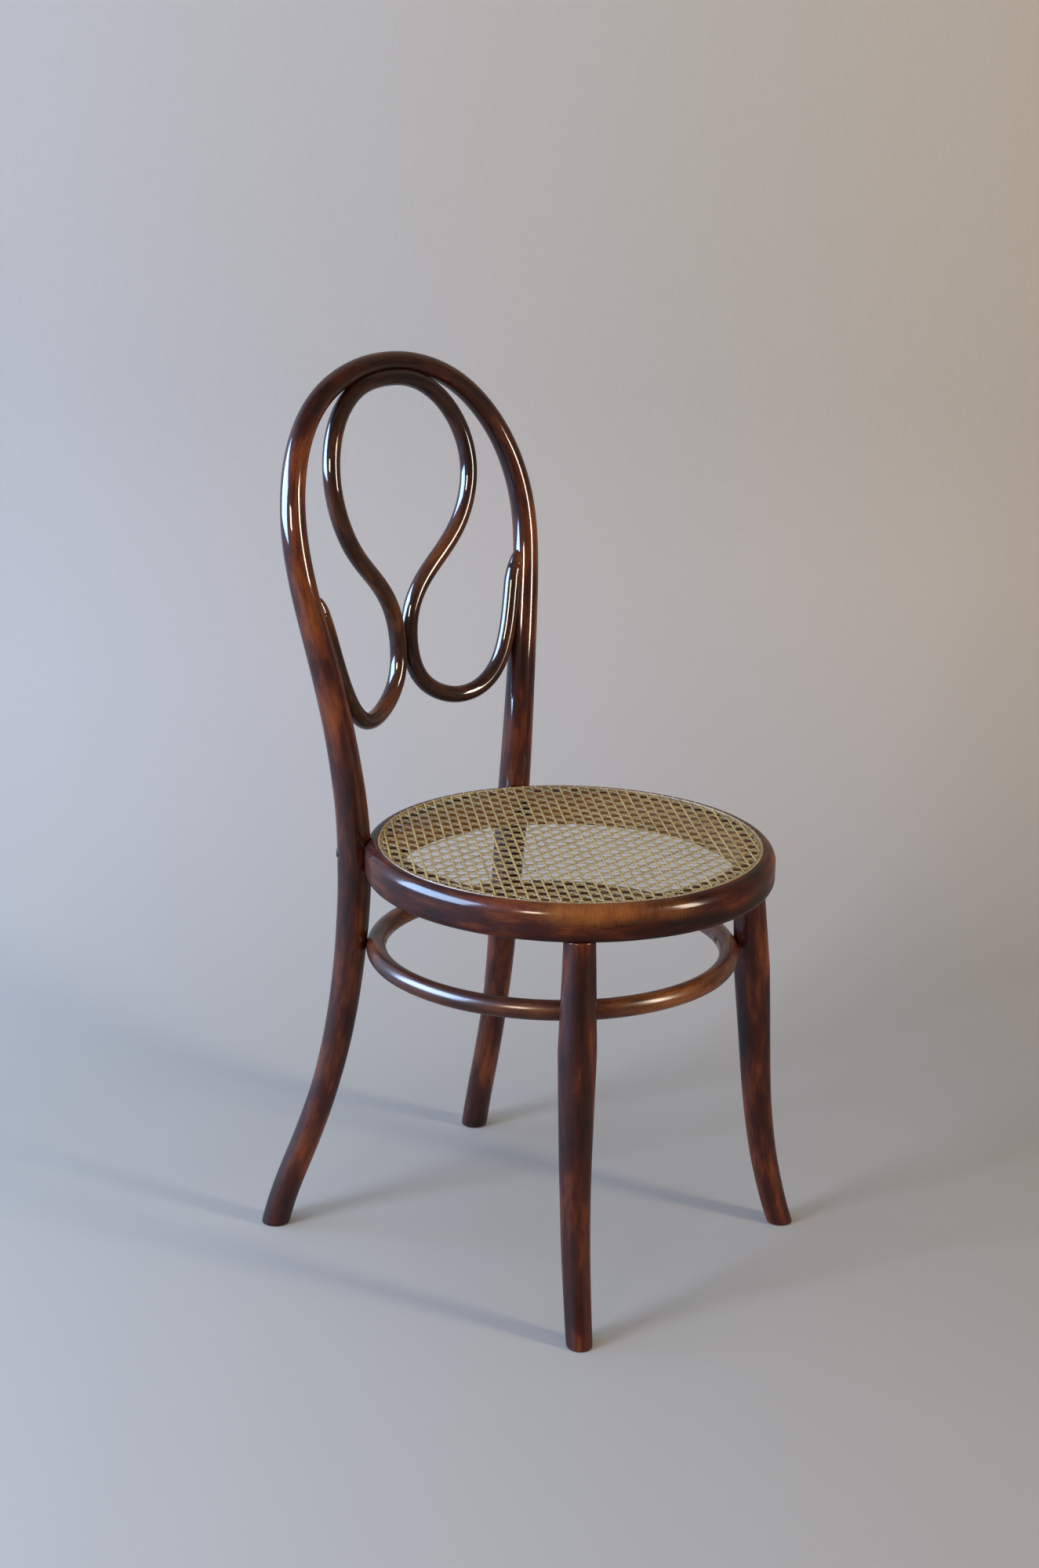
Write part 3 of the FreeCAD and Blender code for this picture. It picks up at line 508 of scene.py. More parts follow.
def fixings(name: str) -> List[Fixing]:
    """Measure the heads of a CAD node's screws, one to each quarter of the chair.

    The shank runs along the longest spread of a screw's vertices, and its head is the wider end.

    Args:
        name: the CAD node.

    Returns:
        One head for each solid.
    """
    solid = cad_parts[name]
    flat = np.empty(len(solid.data.vertices) * 3, np.float32)
    solid.data.vertices.foreach_get("co", flat)
    turn = np.array(solid.matrix_world)
    places = flat.reshape(-1, 3).astype(float) @ turn[:3, :3].T + turn[:3, 3]
    across = np.where(np.abs(places[:, 0]) < NEAR_MIDDLE, 0, np.sign(places[:, 0]))
    quarter = across * 2 + (places[:, 1] > SEAT_Y)
    found = []
    for key in np.unique(quarter):
        group = places[quarter == key]
        middle = group.mean(0)
        _, _, axes = np.linalg.svd(group - middle, full_matrices=False)
        spans = (group - middle) @ axes.T
        centre = middle + ((spans.max(0) + spans.min(0)) / 2) @ axes
        away = np.linalg.norm(((group - centre) @ axes.T)[:, 1:], axis=1)
        widest = group[away > WIDE_SHARE * away.max()]
        heading = axes[0] if (widest - centre).mean(0) @ axes[0] < 0 else -axes[0]
        top = centre + heading * ((group - centre) @ heading).min()
        found.append(Fixing(top, heading, float(away.max())))
    return found


def let_in(points: np.ndarray, heads: Sequence[Fixing], depth: float, snap: float) -> np.ndarray:
    """Sink the wood round each head, so that the head shows in a round recess.

    Points within the snap of the recess's edge move onto it, and those inside it go down to its
    floor.

    Args:
        points: points of the wood.
        heads: the heads.
        depth: how far the recess's floor lies under the heads' tops.
        snap: half the spacing of the points.

    Returns:
        The moved points.
    """
    moved = points.copy()
    for head in heads:
        rim = head.radius + HEAD_ROOM
        along = (moved - head.top) @ head.heading
        aside = moved - head.top - along[:, None] * head.heading
        distance = np.linalg.norm(aside, axis=1)
        near = np.abs(along) < HEAD_REACH
        edge = near & (np.abs(distance - rim) < snap)
        scale = np.where(edge, rim / np.maximum(distance, 1e-9), 1.0)
        inside = near & (distance < rim)
        along = np.where(inside, np.maximum(along, depth), along)
        moved = head.top + along[:, None] * head.heading + aside * scale[:, None]
    return moved


# Round bent rods

def around_seat(turn: float, reach: float, height: float, side: int, heading: int) -> List[float]:
    """A place by its turn from straight back or ahead and its reach past the seat frame, in mm.

    Args:
        turn: angle about the seat's middle, in degrees.
        reach: distance past the seat frame's outside.
        height: height over the floor.
        side: sign of X.
        heading: one behind the seat's middle, minus one before it.

    Returns:
        The place in the chair's frame, in metres.
    """
    distance = (FRAME_RADIUS + reach) * MM
    angle = math.radians(turn)
    return [side * distance * math.sin(angle), SEAT_Y + heading * distance * math.cos(angle), height * MM]


class BentRod:
    """A round rod along a smooth path, whose surface is a function of length and angle.

    The point at length s and angle a is the path's point plus the rod's radius at s times
    cos(a) sideways and sin(a) upward, both square to the path.
    """

    def __init__(self, poles: np.ndarray, stops: Sequence[Tuple[float, float]], reference: np.ndarray,
                 seed: int, uneven: float = 0.12) -> None:
        """Measure the path and fit its frame.

        Args:
            poles: control points of the centre line.
            stops: pairs of a share of the curve and the radius there, in millimetres.
            reference: a direction that the path never runs along.
            seed: picks the unevenness.
            uneven: how far the surface strays from round, in millimetres.
        """
        path = smooth_path(poles, PATH_POINTS)
        steps = np.linalg.norm(np.diff(path, axis=0), axis=1)
        self.place = np.concatenate([[0], np.cumsum(steps)])
        self.length = float(self.place[-1])
        self.path = path
        tangent = unit(np.gradient(path, self.place, axis=0))
        self.across = unit(np.cross(tangent, reference))
        self.up = np.cross(self.across, tangent)
        shares = np.linspace(0, 1, len(path))
        self.radius = np.interp(shares, [s for s, _ in stops], [r * MM for _, r in stops])
        self.seed = seed
        self.uneven = uneven * MM

    def _sample(self, values: np.ndarray, at: np.ndarray) -> np.ndarray:
        """Read a table of the path at given lengths."""
        return np.stack([np.interp(at, self.place, values[:, i]) for i in range(3)], -1)

    def surface(self, at: np.ndarray, angle: np.ndarray, inset: np.ndarray) -> np.ndarray:
        """Points of the rod's surface.

        Args:
            at: lengths along the rod.
            angle: angles about it.
            inset: how far each point lies under the surface.

        Returns:
            Points, with one more axis than the inputs.
        """
        radius = np.interp(at, self.place, self.radius) - inset
        rounding = np.clip(1 - inset / WOBBLE_FADE, 0, 1)
        radius = radius + (wobble(at, angle, self.seed, self.uneven, ROD_WAVE) - self.uneven) * rounding
        side = self._sample(self.across, at) * np.cos(angle)[..., None]
        rise = self._sample(self.up, at) * np.sin(angle)[..., None]
        return self._sample(self.path, at) + (side + rise) * radius[..., None]

    def unbent(self, at: np.ndarray, angle: np.ndarray, inset: np.ndarray) -> np.ndarray:
        """Where each point would lie if the rod were straight, so that grain follows it."""
        radius = np.interp(at, self.place, self.radius) - inset
        return np.stack([np.cos(angle) * radius, np.sin(angle) * radius, at + self.seed], -1)

    def level_rows(self, heights: np.ndarray, insets: np.ndarray, angle: np.ndarray,
                   near: Tuple[float, float]) -> np.ndarray:
        """Lengths at which each side of the rod reaches given heights, for a level cut.

        Args:
            heights: one height for each row.
            insets: one inset for each row.
            angle: the angles about the rod.
            near: the range of lengths to look in.

        Returns:
            Lengths, one row for each height.
        """
        look = np.linspace(near[0], near[1], LEVEL_LOOKS)
        middle = self._sample(self.path, look)[:, 2]
        radius = np.interp(look, self.place, self.radius)
        across = self._sample(self.across, look)[:, 2]
        up = self._sample(self.up, look)[:, 2]
        rows = []
        for height, inset in zip(heights, insets):
            lean = across[:, None] * np.cos(angle) + up[:, None] * np.sin(angle)
            gap = np.abs(middle[:, None] + lean * (radius[:, None] - inset) - height)
            rows.append(look[np.argmin(gap, axis=0)])
        return np.array(rows)


def extended(poles: np.ndarray) -> np.ndarray:
    """The poles with the first one drawn out along its own direction, to be cut at the floor."""
    drawn = poles.copy()
    drawn[0] = poles[0] + unit(poles[0] - poles[1]) * OVERRUN
    return drawn


def foot_rows(rod: BentRod, angle: np.ndarray, start: bool) -> Tuple[np.ndarray, np.ndarray, np.ndarray]:
    """Rows that close a leg with a flat foot whose edge is a quarter circle.

    Args:
        rod: the leg's rod.
        angle: the angles about it.
        start: whether the foot is at the rod's start rather than its end.

    Returns:
        Lengths, insets and heights of the rows, from the flat outward to the wall.
    """
    heights = FOOT_EDGE * (1 - np.cos(EDGE_TURNS))
    insets = FOOT_EDGE * (1 - np.sin(EDGE_TURNS)) + FOOT_TRIM
    near = (0.0, FOOT_JOIN) if start else (rod.length - FOOT_JOIN, rod.length)
    at = rod.level_rows(heights, insets, angle, near)
    edge = FOOT_EDGE + FOOT_TRIM
    flat_insets = (1 - FLAT_SHARES) * (float(rod.radius[0]) - edge) + edge
    level = np.zeros(len(FLAT_SHARES))
    at = np.concatenate([rod.level_rows(level, flat_insets, angle, near), at])
    return at, np.concatenate([flat_insets, insets]), np.concatenate([level, heights])


def rod_object(name: str, rod: BentRod, spacing: float, feet: Tuple[bool, bool], nose: float = 0.0,
               shape: Optional[Callable[[np.ndarray], np.ndarray]] = None) -> bpy.types.Object:
    """Make a closed mesh of a rod.

    Args:
        name: the piece's name.
        rod: the rod.
        spacing: distance between rows.
        feet: whether the start and the end stand on the floor.
        nose: length of the bullet-shaped tips of a rod with no feet; zero for a flat end.
        shape: moves the finished points, as where another piece is let in.

    Returns:
        The new object.
    """
    angle = np.linspace(0, 2 * np.pi, ROUND_SIDES, endpoint=False)
    parts: List[Tuple[np.ndarray, np.ndarray, Optional[np.ndarray]]] = []
    starts, ends = 0.0, rod.length
    if feet[0]:
        parts.append(foot_rows(rod, angle, True))
        starts = FOOT_JOIN
    if feet[1]:
        ends = rod.length - FOOT_JOIN
    if nose > 0:
        at = nose * (1 - np.cos(NOSE_TURNS))
        inset = rod.radius[0] * (1 - np.sin(NOSE_TURNS))
        parts.append((np.repeat(at[:, None], ROUND_SIDES, 1), inset, None))
        starts, ends = nose, rod.length - nose
    middle = np.linspace(starts, ends, int((ends - starts) / spacing))
    if feet[0]:
        wall = parts[0][0][-1]
        parts.append((wall + (starts - wall) * BLEND_SHARES[:, None], np.zeros(len(BLEND_SHARES)), None))
    parts.append((np.repeat(middle[:, None], ROUND_SIDES, 1), np.zeros(len(middle)), None))
    if feet[1]:
        at, inset, height = foot_rows(rod, angle, False)
        wall = at[-1]
        parts.append((ends + (wall - ends) * BLEND_SHARES[:, None], np.zeros(len(BLEND_SHARES)), None))
        parts.append((at[::-1], inset[::-1], height[::-1]))
    if nose > 0:
        first = parts[0]
        parts.append((rod.length - first[0][::-1], first[1][::-1], None))
    return close_rod(name, rod, angle, parts, shape)


def close_rod(name: str, rod: BentRod, angle: np.ndarray,
              parts: Sequence[Tuple[np.ndarray, np.ndarray, Optional[np.ndarray]]],
              shape: Optional[Callable[[np.ndarray], np.ndarray]]) -> bpy.types.Object:
    """Join the runs of rows into one mesh and close both ends with a fan.

    Args:
        name: the piece's name.
        rod: the rod.
        angle: the angles about it.
        parts: runs of rows: lengths, insets, and heights where a row is level.
        shape: moves the finished points.

    Returns:
        The new object.
    """
    grids, flats = [], []
    for at, inset, height in parts:
        inset = np.repeat(inset[:, None], ROUND_SIDES, 1)
        around = np.repeat(angle[None, :], len(at), 0)
        grid = rod.surface(at, around, inset)
        if height is not None:
            grid[..., 2] = height[:, None]
        grids.append(grid)
        flats.append(rod.unbent(at, around, inset))
    points = np.concatenate(grids).reshape(-1, 3)
    unbent = np.concatenate(flats).reshape(-1, 3)
    rows = len(points) // ROUND_SIDES
    if shape is not None:
        points = shape(points)
    ends = np.stack([points[:ROUND_SIDES].mean(0), points[-ROUND_SIDES:].mean(0)])
    flat_ends = np.stack([unbent[:ROUND_SIDES].mean(0), unbent[-ROUND_SIDES:].mean(0)])
    first, last = rows * ROUND_SIDES, rows * ROUND_SIDES + 1
    low = (rows - 1) * ROUND_SIDES
    tips = [(first, i, (i + 1) % ROUND_SIDES) for i in range(ROUND_SIDES)]
    tips += [(last, low + (i + 1) % ROUND_SIDES, low + i) for i in range(ROUND_SIDES)]
    return make_mesh(name, np.concatenate([points, ends]), grid_faces(rows, ROUND_SIDES),
                     np.concatenate([unbent, flat_ends]), tips)


# The back

@dataclass
class Back:
    """The hoop, whose ends are the rear legs, and the scroll inside it."""
    hoop_poles: Tuple[Tuple[float, float, float], ...] = (
        (33.66, 98.2, 0), (33.95, 91.4, 33), (34.15, 63.1, 97), (34.88, 30.1, 202), (35.14, 12.9, 329),
        (37.21, 7.9, 465), (40.15, 37.4, 623), (42.94, 79.5, 764), (28.59, 73.0, 886), (0, 49.6, 924.8))
    hoop_stops: Tuple[Tuple[float, float], ...] = ((0, 14.9), (0.11, 14.6), (0.225, 17.9), (0.35, 13.7),
                                                   (0.5, 10.4))
    scroll_poles: Tuple[Tuple[float, float], ...] = (
        (162.0, 697.5), (153.4, 673.0), (144.1, 630.9), (124.1, 575.7), (89.2, 549.7), (48.1, 553.1),
        (8.2, 583.1), (7.7, 648.5), (36.7, 688.8), (89.9, 729.3), (116.2, 796.4), (96.7, 857.6),
        (50.5, 893.1), (0, 898.3))
    scroll_nose: float = 7.6
    nose_share: float = 0.02
    scroll_tip: float = 9.0
    scroll_crown: float = 9.4
    lean_left: float = 4.0
    lean_beyond: float = 135.0
    lean_heights: Tuple[float, float] = (668.0, 692.0)
    belly: float = 35.6
    belly_full: float = 621.6
    belly_end: float = 888.3
    fullness: float = 1.67
    spacing: float = 2.0 * MM
    nose: float = 19.0
    bolt_depth: float = 3.4
    screw_depth: float = 0.5
    bolt_snap: float = 1.2
    screw_snap: float = 1.0

    def hoop(self) -> BentRod:
        """The hoop's rod, from the right rear foot over the crown to the left one."""
        half = np.array([around_seat(turn, reach, height, Side.RIGHT.value, BACK)
                         for turn, reach, height in self.hoop_poles])
        half = extended(half)
        other = half[-2::-1] * np.array([-1.0, 1.0, 1.0])
        stops = list(self.hoop_stops) + [(1 - s, r) for s, r in self.hoop_stops[-2::-1]]
        return BentRod(np.concatenate([half, other]), stops, FORWARD, 11)

    def depths(self, hoop: BentRod, span: np.ndarray, height: np.ndarray) -> np.ndarray:
        """Depth of the back's surface: the hoop's rake plus a belly between the uprights.

        The belly fades as a smooth step of the height and falls off as a power of
        one less the squared share of the half width.

        Args:
            hoop: the hoop's rod.
            span: distances from the middle plane.
            height: heights over the floor.

        Returns:
            Depths in metres.
        """
        half = hoop.path[: len(hoop.path) // 2]
        beside = np.interp(height, half[:, 2], half[:, 0])
        depth = np.interp(height, half[:, 2], half[:, 1])
        fade = smoothstep((self.belly_end * MM - height) / ((self.belly_end - self.belly_full) * MM))
        across = np.clip(1 - (span / beside) ** 2, 0, None) ** self.fullness
        return depth + self.belly * MM * fade * across

    def scroll(self, hoop: BentRod) -> BentRod:
        """The scroll's rod, tip to tip."""
        flat = np.array(self.scroll_poles) * MM
        depth = self.depths(hoop, flat[:, 0], flat[:, 1])
        half = np.stack([-flat[:, 0], depth, flat[:, 1]], -1)
        other = half[-2::-1] * np.array([-1.0, 1.0, 1.0])
        stops = [(0, self.scroll_nose), (self.nose_share, self.scroll_tip), (0.5, self.scroll_crown),
                 (1 - self.nose_share, self.scroll_tip), (1, self.scroll_nose)]
        return BentRod(np.concatenate([half, other]), stops, FORWARD, 23, uneven=0.08)

    def lean_tip(self, points: np.ndarray) -> np.ndarray:
        """Draw the scroll's left tip to its upright, by a smooth step of the height."""
        start, end = self.lean_heights
        far_out = points[:, 0] > self.lean_beyond * MM
        share = smoothstep((points[:, 2] / MM - start) / (end - start)) * far_out
        moved = points.copy()
        moved[:, 0] += share * self.lean_left * MM
        return moved

    def make(self, wood: bpy.types.Material, darker: bpy.types.Material) -> None:
        """Build and dress the hoop, and the scroll in its darker stain.

        Args:
            wood: the finish of the wood.
            darker: the scroll's finish.
        """
        hoop = self.hoop()
        seat = SeatFrame()
        bolts, screws = fixings("seat_bolts"), fixings("scroll_tip_screws")

        def bored(points: np.ndarray) -> np.ndarray:
            """Sink the wood round the bolts' and screws' heads."""
            points = let_in(seat.clear(points), bolts, self.bolt_depth * MM, self.bolt_snap * MM)
            return let_in(points, screws, self.screw_depth * MM, self.screw_snap * MM)

        legs = rod_object("back_hoop_rod", hoop, self.spacing, (True, True), shape=bored)
        dress(legs, wood, "stained_beech", "back_hoop")
        scroll = rod_object("back_scroll_rod", self.scroll(hoop), self.spacing, (False, False),
                            self.nose * MM, shape=lambda points: clear_of_rod(self.lean_tip(points), hoop))
        dress(scroll, darker, "stained_beech", "back_scroll")


def clear_of_rod(points: np.ndarray, rod: BentRod) -> np.ndarray:
    """Move points that lie inside a rod out to its surface, as a coped joint is cut.

    Args:
        points: points to move.
        rod: the rod to stay clear of.

    Returns:
        The moved points.
    """
    path = rod.path[::PATH_STEP]
    radius = rod.radius[::PATH_STEP] + GLUE_GAP
    near = np.zeros(len(points), int)
    for start in range(0, len(points), BLOCK):
        block = points[start:start + BLOCK]
        gaps = np.linalg.norm(block[:, None, :] - path[None, :, :], axis=-1)
        near[start:start + BLOCK] = np.argmin(gaps, axis=1)
    away = points - path[near]
    distance = np.linalg.norm(away, axis=1)
    push = np.clip(radius[near] - distance, 0, None)
    return points + away / np.maximum(distance, 1e-9)[:, None] * push[:, None]


# The seat frame, the front legs and the leg ring


@dataclass
class SeatFrame:
    """The bent ring round the cane: a turned profile with a bull nose and a rebate for the cane."""
    radius: float = 211.2
    width: float = 35.0
    top: float = 446.0
    thickness: float = 38.0
    top_round: float = 12.5
    under_round: float = 9.0
    inner_round: float = 3.0
    rebate_width: float = 22.0
    rebate_depth: float = 2.0
    edge_round: float = 0.6
    uneven: float = 0.2
    turns: int = 360

    def profile(self) -> np.ndarray:
        """Radius and height of the ring's section, anticlockwise from its inner underside.

        Returns:
            Points in metres, not closed.
        """
        inner = self.radius - self.width
        under = self.top - self.thickness
        step = inner + self.rebate_width
        ledge = self.top - self.rebate_depth

        def corner(middle_r: float, middle_z: float, rounding: float, start: float, count: int) -> np.ndarray:
            """A quarter circle from a start angle."""
            turn = np.radians(np.linspace(start, start + 90, count))
            return np.stack([middle_r + rounding * np.cos(turn), middle_z + rounding * np.sin(turn)], -1)

        runs = [corner(inner + self.inner_round, under + self.inner_round, self.inner_round, 180, 6),
                corner(self.radius - self.under_round, under + self.under_round, self.under_round, 270, 12),
                corner(self.radius - self.top_round, self.top - self.top_round, self.top_round, 0, 16),
                corner(step + self.edge_round, self.top - self.edge_round, self.edge_round, 90, 5),
                np.array([[step, ledge], [inner + self.edge_round, ledge]]),
                corner(inner + self.edge_round, ledge - self.edge_round, self.edge_round, 90, 4)[1:]]
        return np.concatenate(runs) * MM

    def outer_reach(self, height: np.ndarray) -> np.ndarray:
        """Radius of the ring's outside at each height, zero above and below it.

        On a rounding it is the flat's radius less r minus the root of r^2 - d^2.
        """
        top, under = self.top * MM, (self.top - self.thickness) * MM
        high = np.clip(height - (top - self.top_round * MM), 0, self.top_round * MM)
        low = np.clip(under + self.under_round * MM - height, 0, self.under_round * MM)
        drop_top = self.top_round * MM - np.sqrt((self.top_round * MM) ** 2 - high ** 2)
        drop_low = self.under_round * MM - np.sqrt((self.under_round * MM) ** 2 - low ** 2)
        reach = self.radius * MM - drop_top - drop_low
        return np.where((height < top) & (height > under), reach, 0.0)

    def clear(self, points: np.ndarray) -> np.ndarray:
        """Push points out of the ring, as the uprights are notched where they hold it."""
        flat = points[:, :2] - np.array([0.0, SEAT_Y])
        distance = np.linalg.norm(flat, axis=1)
        push = np.clip(self.outer_reach(points[:, 2]) + GLUE_GAP - distance, 0, NOTCH_DEPTH)
        push = np.where(self.outer_reach(points[:, 2]) > 0, push, 0.0)
        moved = points.copy()
        moved[:, :2] += flat / np.maximum(distance, 1e-9)[:, None] * push[:, None]
        return moved

    def make(self, wood: bpy.types.Material) -> None:
        """Build and dress the ring."""
        section = self.profile()
        around = np.linspace(0, 2 * np.pi, self.turns, endpoint=False)
        row, turn = np.meshgrid(np.arange(len(section)), around, indexing="ij")
        radius = section[row, 0]
        # Only the outer 8 mm are uneven, rising over 6 mm; the wave turns with the height.
        outside = smoothstep((radius / MM - (self.radius - 8)) / 6)
        wave = 2 * np.pi * self.radius * MM / 3
        swell = wobble(self.radius * MM * turn, section[row, 1] * 30, 5, self.uneven * MM, wave)
        radius = radius + (swell - self.uneven * MM) * outside
        # The seam of the count lies at the back, between the uprights.
        points = np.stack([radius * np.sin(turn), SEAT_Y + radius * np.cos(turn), section[row, 1]], -1)
        unbent = np.stack([section[row, 0], section[row, 1], self.radius * MM * turn], -1)
        faces = grid_faces(len(section), len(around), closed_rows=True)
        ring = make_mesh("seat_frame_ring", points.reshape(-1, 3), faces, unbent.reshape(-1, 3))
        dress(ring, wood, "stained_beech", "seat_frame")


@dataclass
class FrontLeg:
    """A front leg, swollen under the seat and curving outward to its foot."""
    side: Side
    poles: Tuple[Tuple[float, float, float], ...] = (
        (48.5, 33.1, 0), (49.63, 6.9, 71.7), (50.46, -2.4, 215), (50.05, -15.1, 358.3), (50.22, -20.2, 430))
    stops: Tuple[Tuple[float, float], ...] = ((0, 13.3), (145, 15.4), (295, 19.4), (408, 15.9), (440, 15.9))

    def rod(self) -> BentRod:
        """The leg's rod, with its thickness read at each height."""
        poles = extended(np.array([around_seat(turn, reach, height, self.side.value, AHEAD)
                                   for turn, reach, height in self.poles]))
        heights = smooth_path(poles, 60)[:, 2] / MM
        radii = np.interp(heights, [h for h, _ in self.stops], [r for _, r in self.stops])
        return BentRod(poles, list(zip(np.linspace(0, 1, 60), radii)), FORWARD, 31 + self.side.value)

    def make(self, wood: bpy.types.Material, ring: "LegRing") -> None:
        """Build and dress the leg.

        Args:
            wood: the finish of the wood.
            ring: the leg ring, which the piece is kept clear of.
        """
        name = self.side.name.lower()
        leg = rod_object(f"front_leg_{name}_rod", self.rod(), 3.0 * MM, (True, False),
                         shape=lambda points: ring.clear(cut_level(points, 408.5 * MM)))
        dress(leg, wood, "stained_beech", f"front_leg_{name}")


def cut_level(points: np.ndarray, height: float) -> np.ndarray:
    """Points no higher than the height, as a shoulder is sawn."""
    cut = points.copy()
    cut[:, 2] = np.minimum(cut[:, 2], height)
    return cut


@dataclass
class LegRing:
    """The round ring that ties the four legs, let a little into each of them."""
    radius: float = 184.07
    depth: float = 19.9
    height: float = 326.0
    thickness: float = 10.3
    uneven: float = 0.15
    turns: int = 800
    sides: int = 44
    screw_depth: float = 0.5
    screw_snap: float = 0.75

    def clear(self, points: np.ndarray) -> np.ndarray:
        """Push points out of the ring's rod: away from the nearest point of its middle circle."""
        middle = np.array([0.0, SEAT_Y + self.depth * MM, self.height * MM])
        flat = points[:, :2] - middle[:2]
        distance = np.linalg.norm(flat, axis=1)
        near = np.concatenate([flat / np.maximum(distance, 1e-9)[:, None] * self.radius * MM,
                               np.zeros((len(points), 1))], axis=1) + middle
        away = points - near
        gap = np.linalg.norm(away, axis=1)
        push = np.clip(self.thickness * MM + GLUE_GAP - gap, 0, NOTCH_DEPTH / 4)
        return points + away / np.maximum(gap, 1e-9)[:, None] * push[:, None]

    def make(self, wood: bpy.types.Material) -> None:
        """Build and dress the ring."""
        around = np.linspace(0, 2 * np.pi, self.turns, endpoint=False)
        about = np.linspace(0, 2 * np.pi, self.sides, endpoint=False)
        turn, angle = np.meshgrid(around, about, indexing="ij")
        swell = wobble(turn * self.radius * MM, angle, 7, self.uneven * MM, 2 * np.pi * self.radius * MM / 3)
        thick = self.thickness * MM + swell
        radius = self.radius * MM + thick * np.cos(angle)
        points = np.stack([radius * np.sin(turn), SEAT_Y + self.depth * MM + radius * np.cos(turn),
                           self.height * MM + thick * np.sin(angle)], -1)
        unbent = np.stack([thick * np.cos(angle), thick * np.sin(angle), self.radius * MM * turn], -1)
        faces = grid_faces(len(around), len(about), closed_rows=True)[:, ::-1]
        bored = let_in(points.reshape(-1, 3), fixings("leg_ring_screws"), self.screw_depth * MM,
                       self.screw_snap * MM)
        ring = make_mesh("leg_ring_rod", bored, faces, unbent.reshape(-1, 3))
        dress(ring, wood, "stained_beech", "leg_ring")


# The cane


def strand_rows(at: np.ndarray, height: np.ndarray, start: np.ndarray, heading: np.ndarray, width: float,
                section: np.ndarray, number: int) -> Tuple[np.ndarray, np.ndarray]:
    """One strand: its section carried along a straight run in plan whose height goes up and down.

    Args:
        at: distances along the run.
        height: height at each distance.
        start: the run's point at distance zero, in plan.
        heading: the run's direction, in plan.
        width: width of the strand.
        section: points of the section, in shares of the width.
        number: the strand's number, which sets its place in the pattern of colour.

    Returns:
        Points and their unbent places, with one row for each distance.
    """
    across = np.array([heading[1], -heading[0]])
    plan = start + at[:, None] * heading
    side = section[:, 0] * width
    x = plan[:, 0:1] + across[0] * side
    y = plan[:, 1:2] + across[1] * side
    z = height[:, None] + section[:, 1] * width
    flat = np.stack([np.broadcast_to(side, x.shape), np.broadcast_to(section[:, 1] * width, x.shape),
                     np.broadcast_to(at[:, None] + number * STRAND_SHIFT, x.shape)], -1)
    return np.stack([x, y, z], -1), flat


def join_strands(name: str, strands: Sequence[Tuple[np.ndarray, np.ndarray]]) -> bpy.types.Object:
    """Put many strands into one mesh, each a closed tube.

    Args:
        name: the piece's name.
        strands: points and unbent places of each strand.

    Returns:
        The new object.
    """
    points, flats, faces, tips = [], [], [], []
    base = 0
    for place, flat in strands:
        rows, columns = place.shape[:2]
        points.append(place.reshape(-1, 3))
        flats.append(flat.reshape(-1, 3))
        faces.append(grid_faces(rows, columns) + base)
        last = base + (rows - 1) * columns
        tips.append([base + i for i in range(columns)][::-1])
        tips.append([last + i for i in range(columns)])
        base += rows * columns
    return make_mesh(name, np.concatenate(points), np.concatenate(faces), np.concatenate(flats), tips)


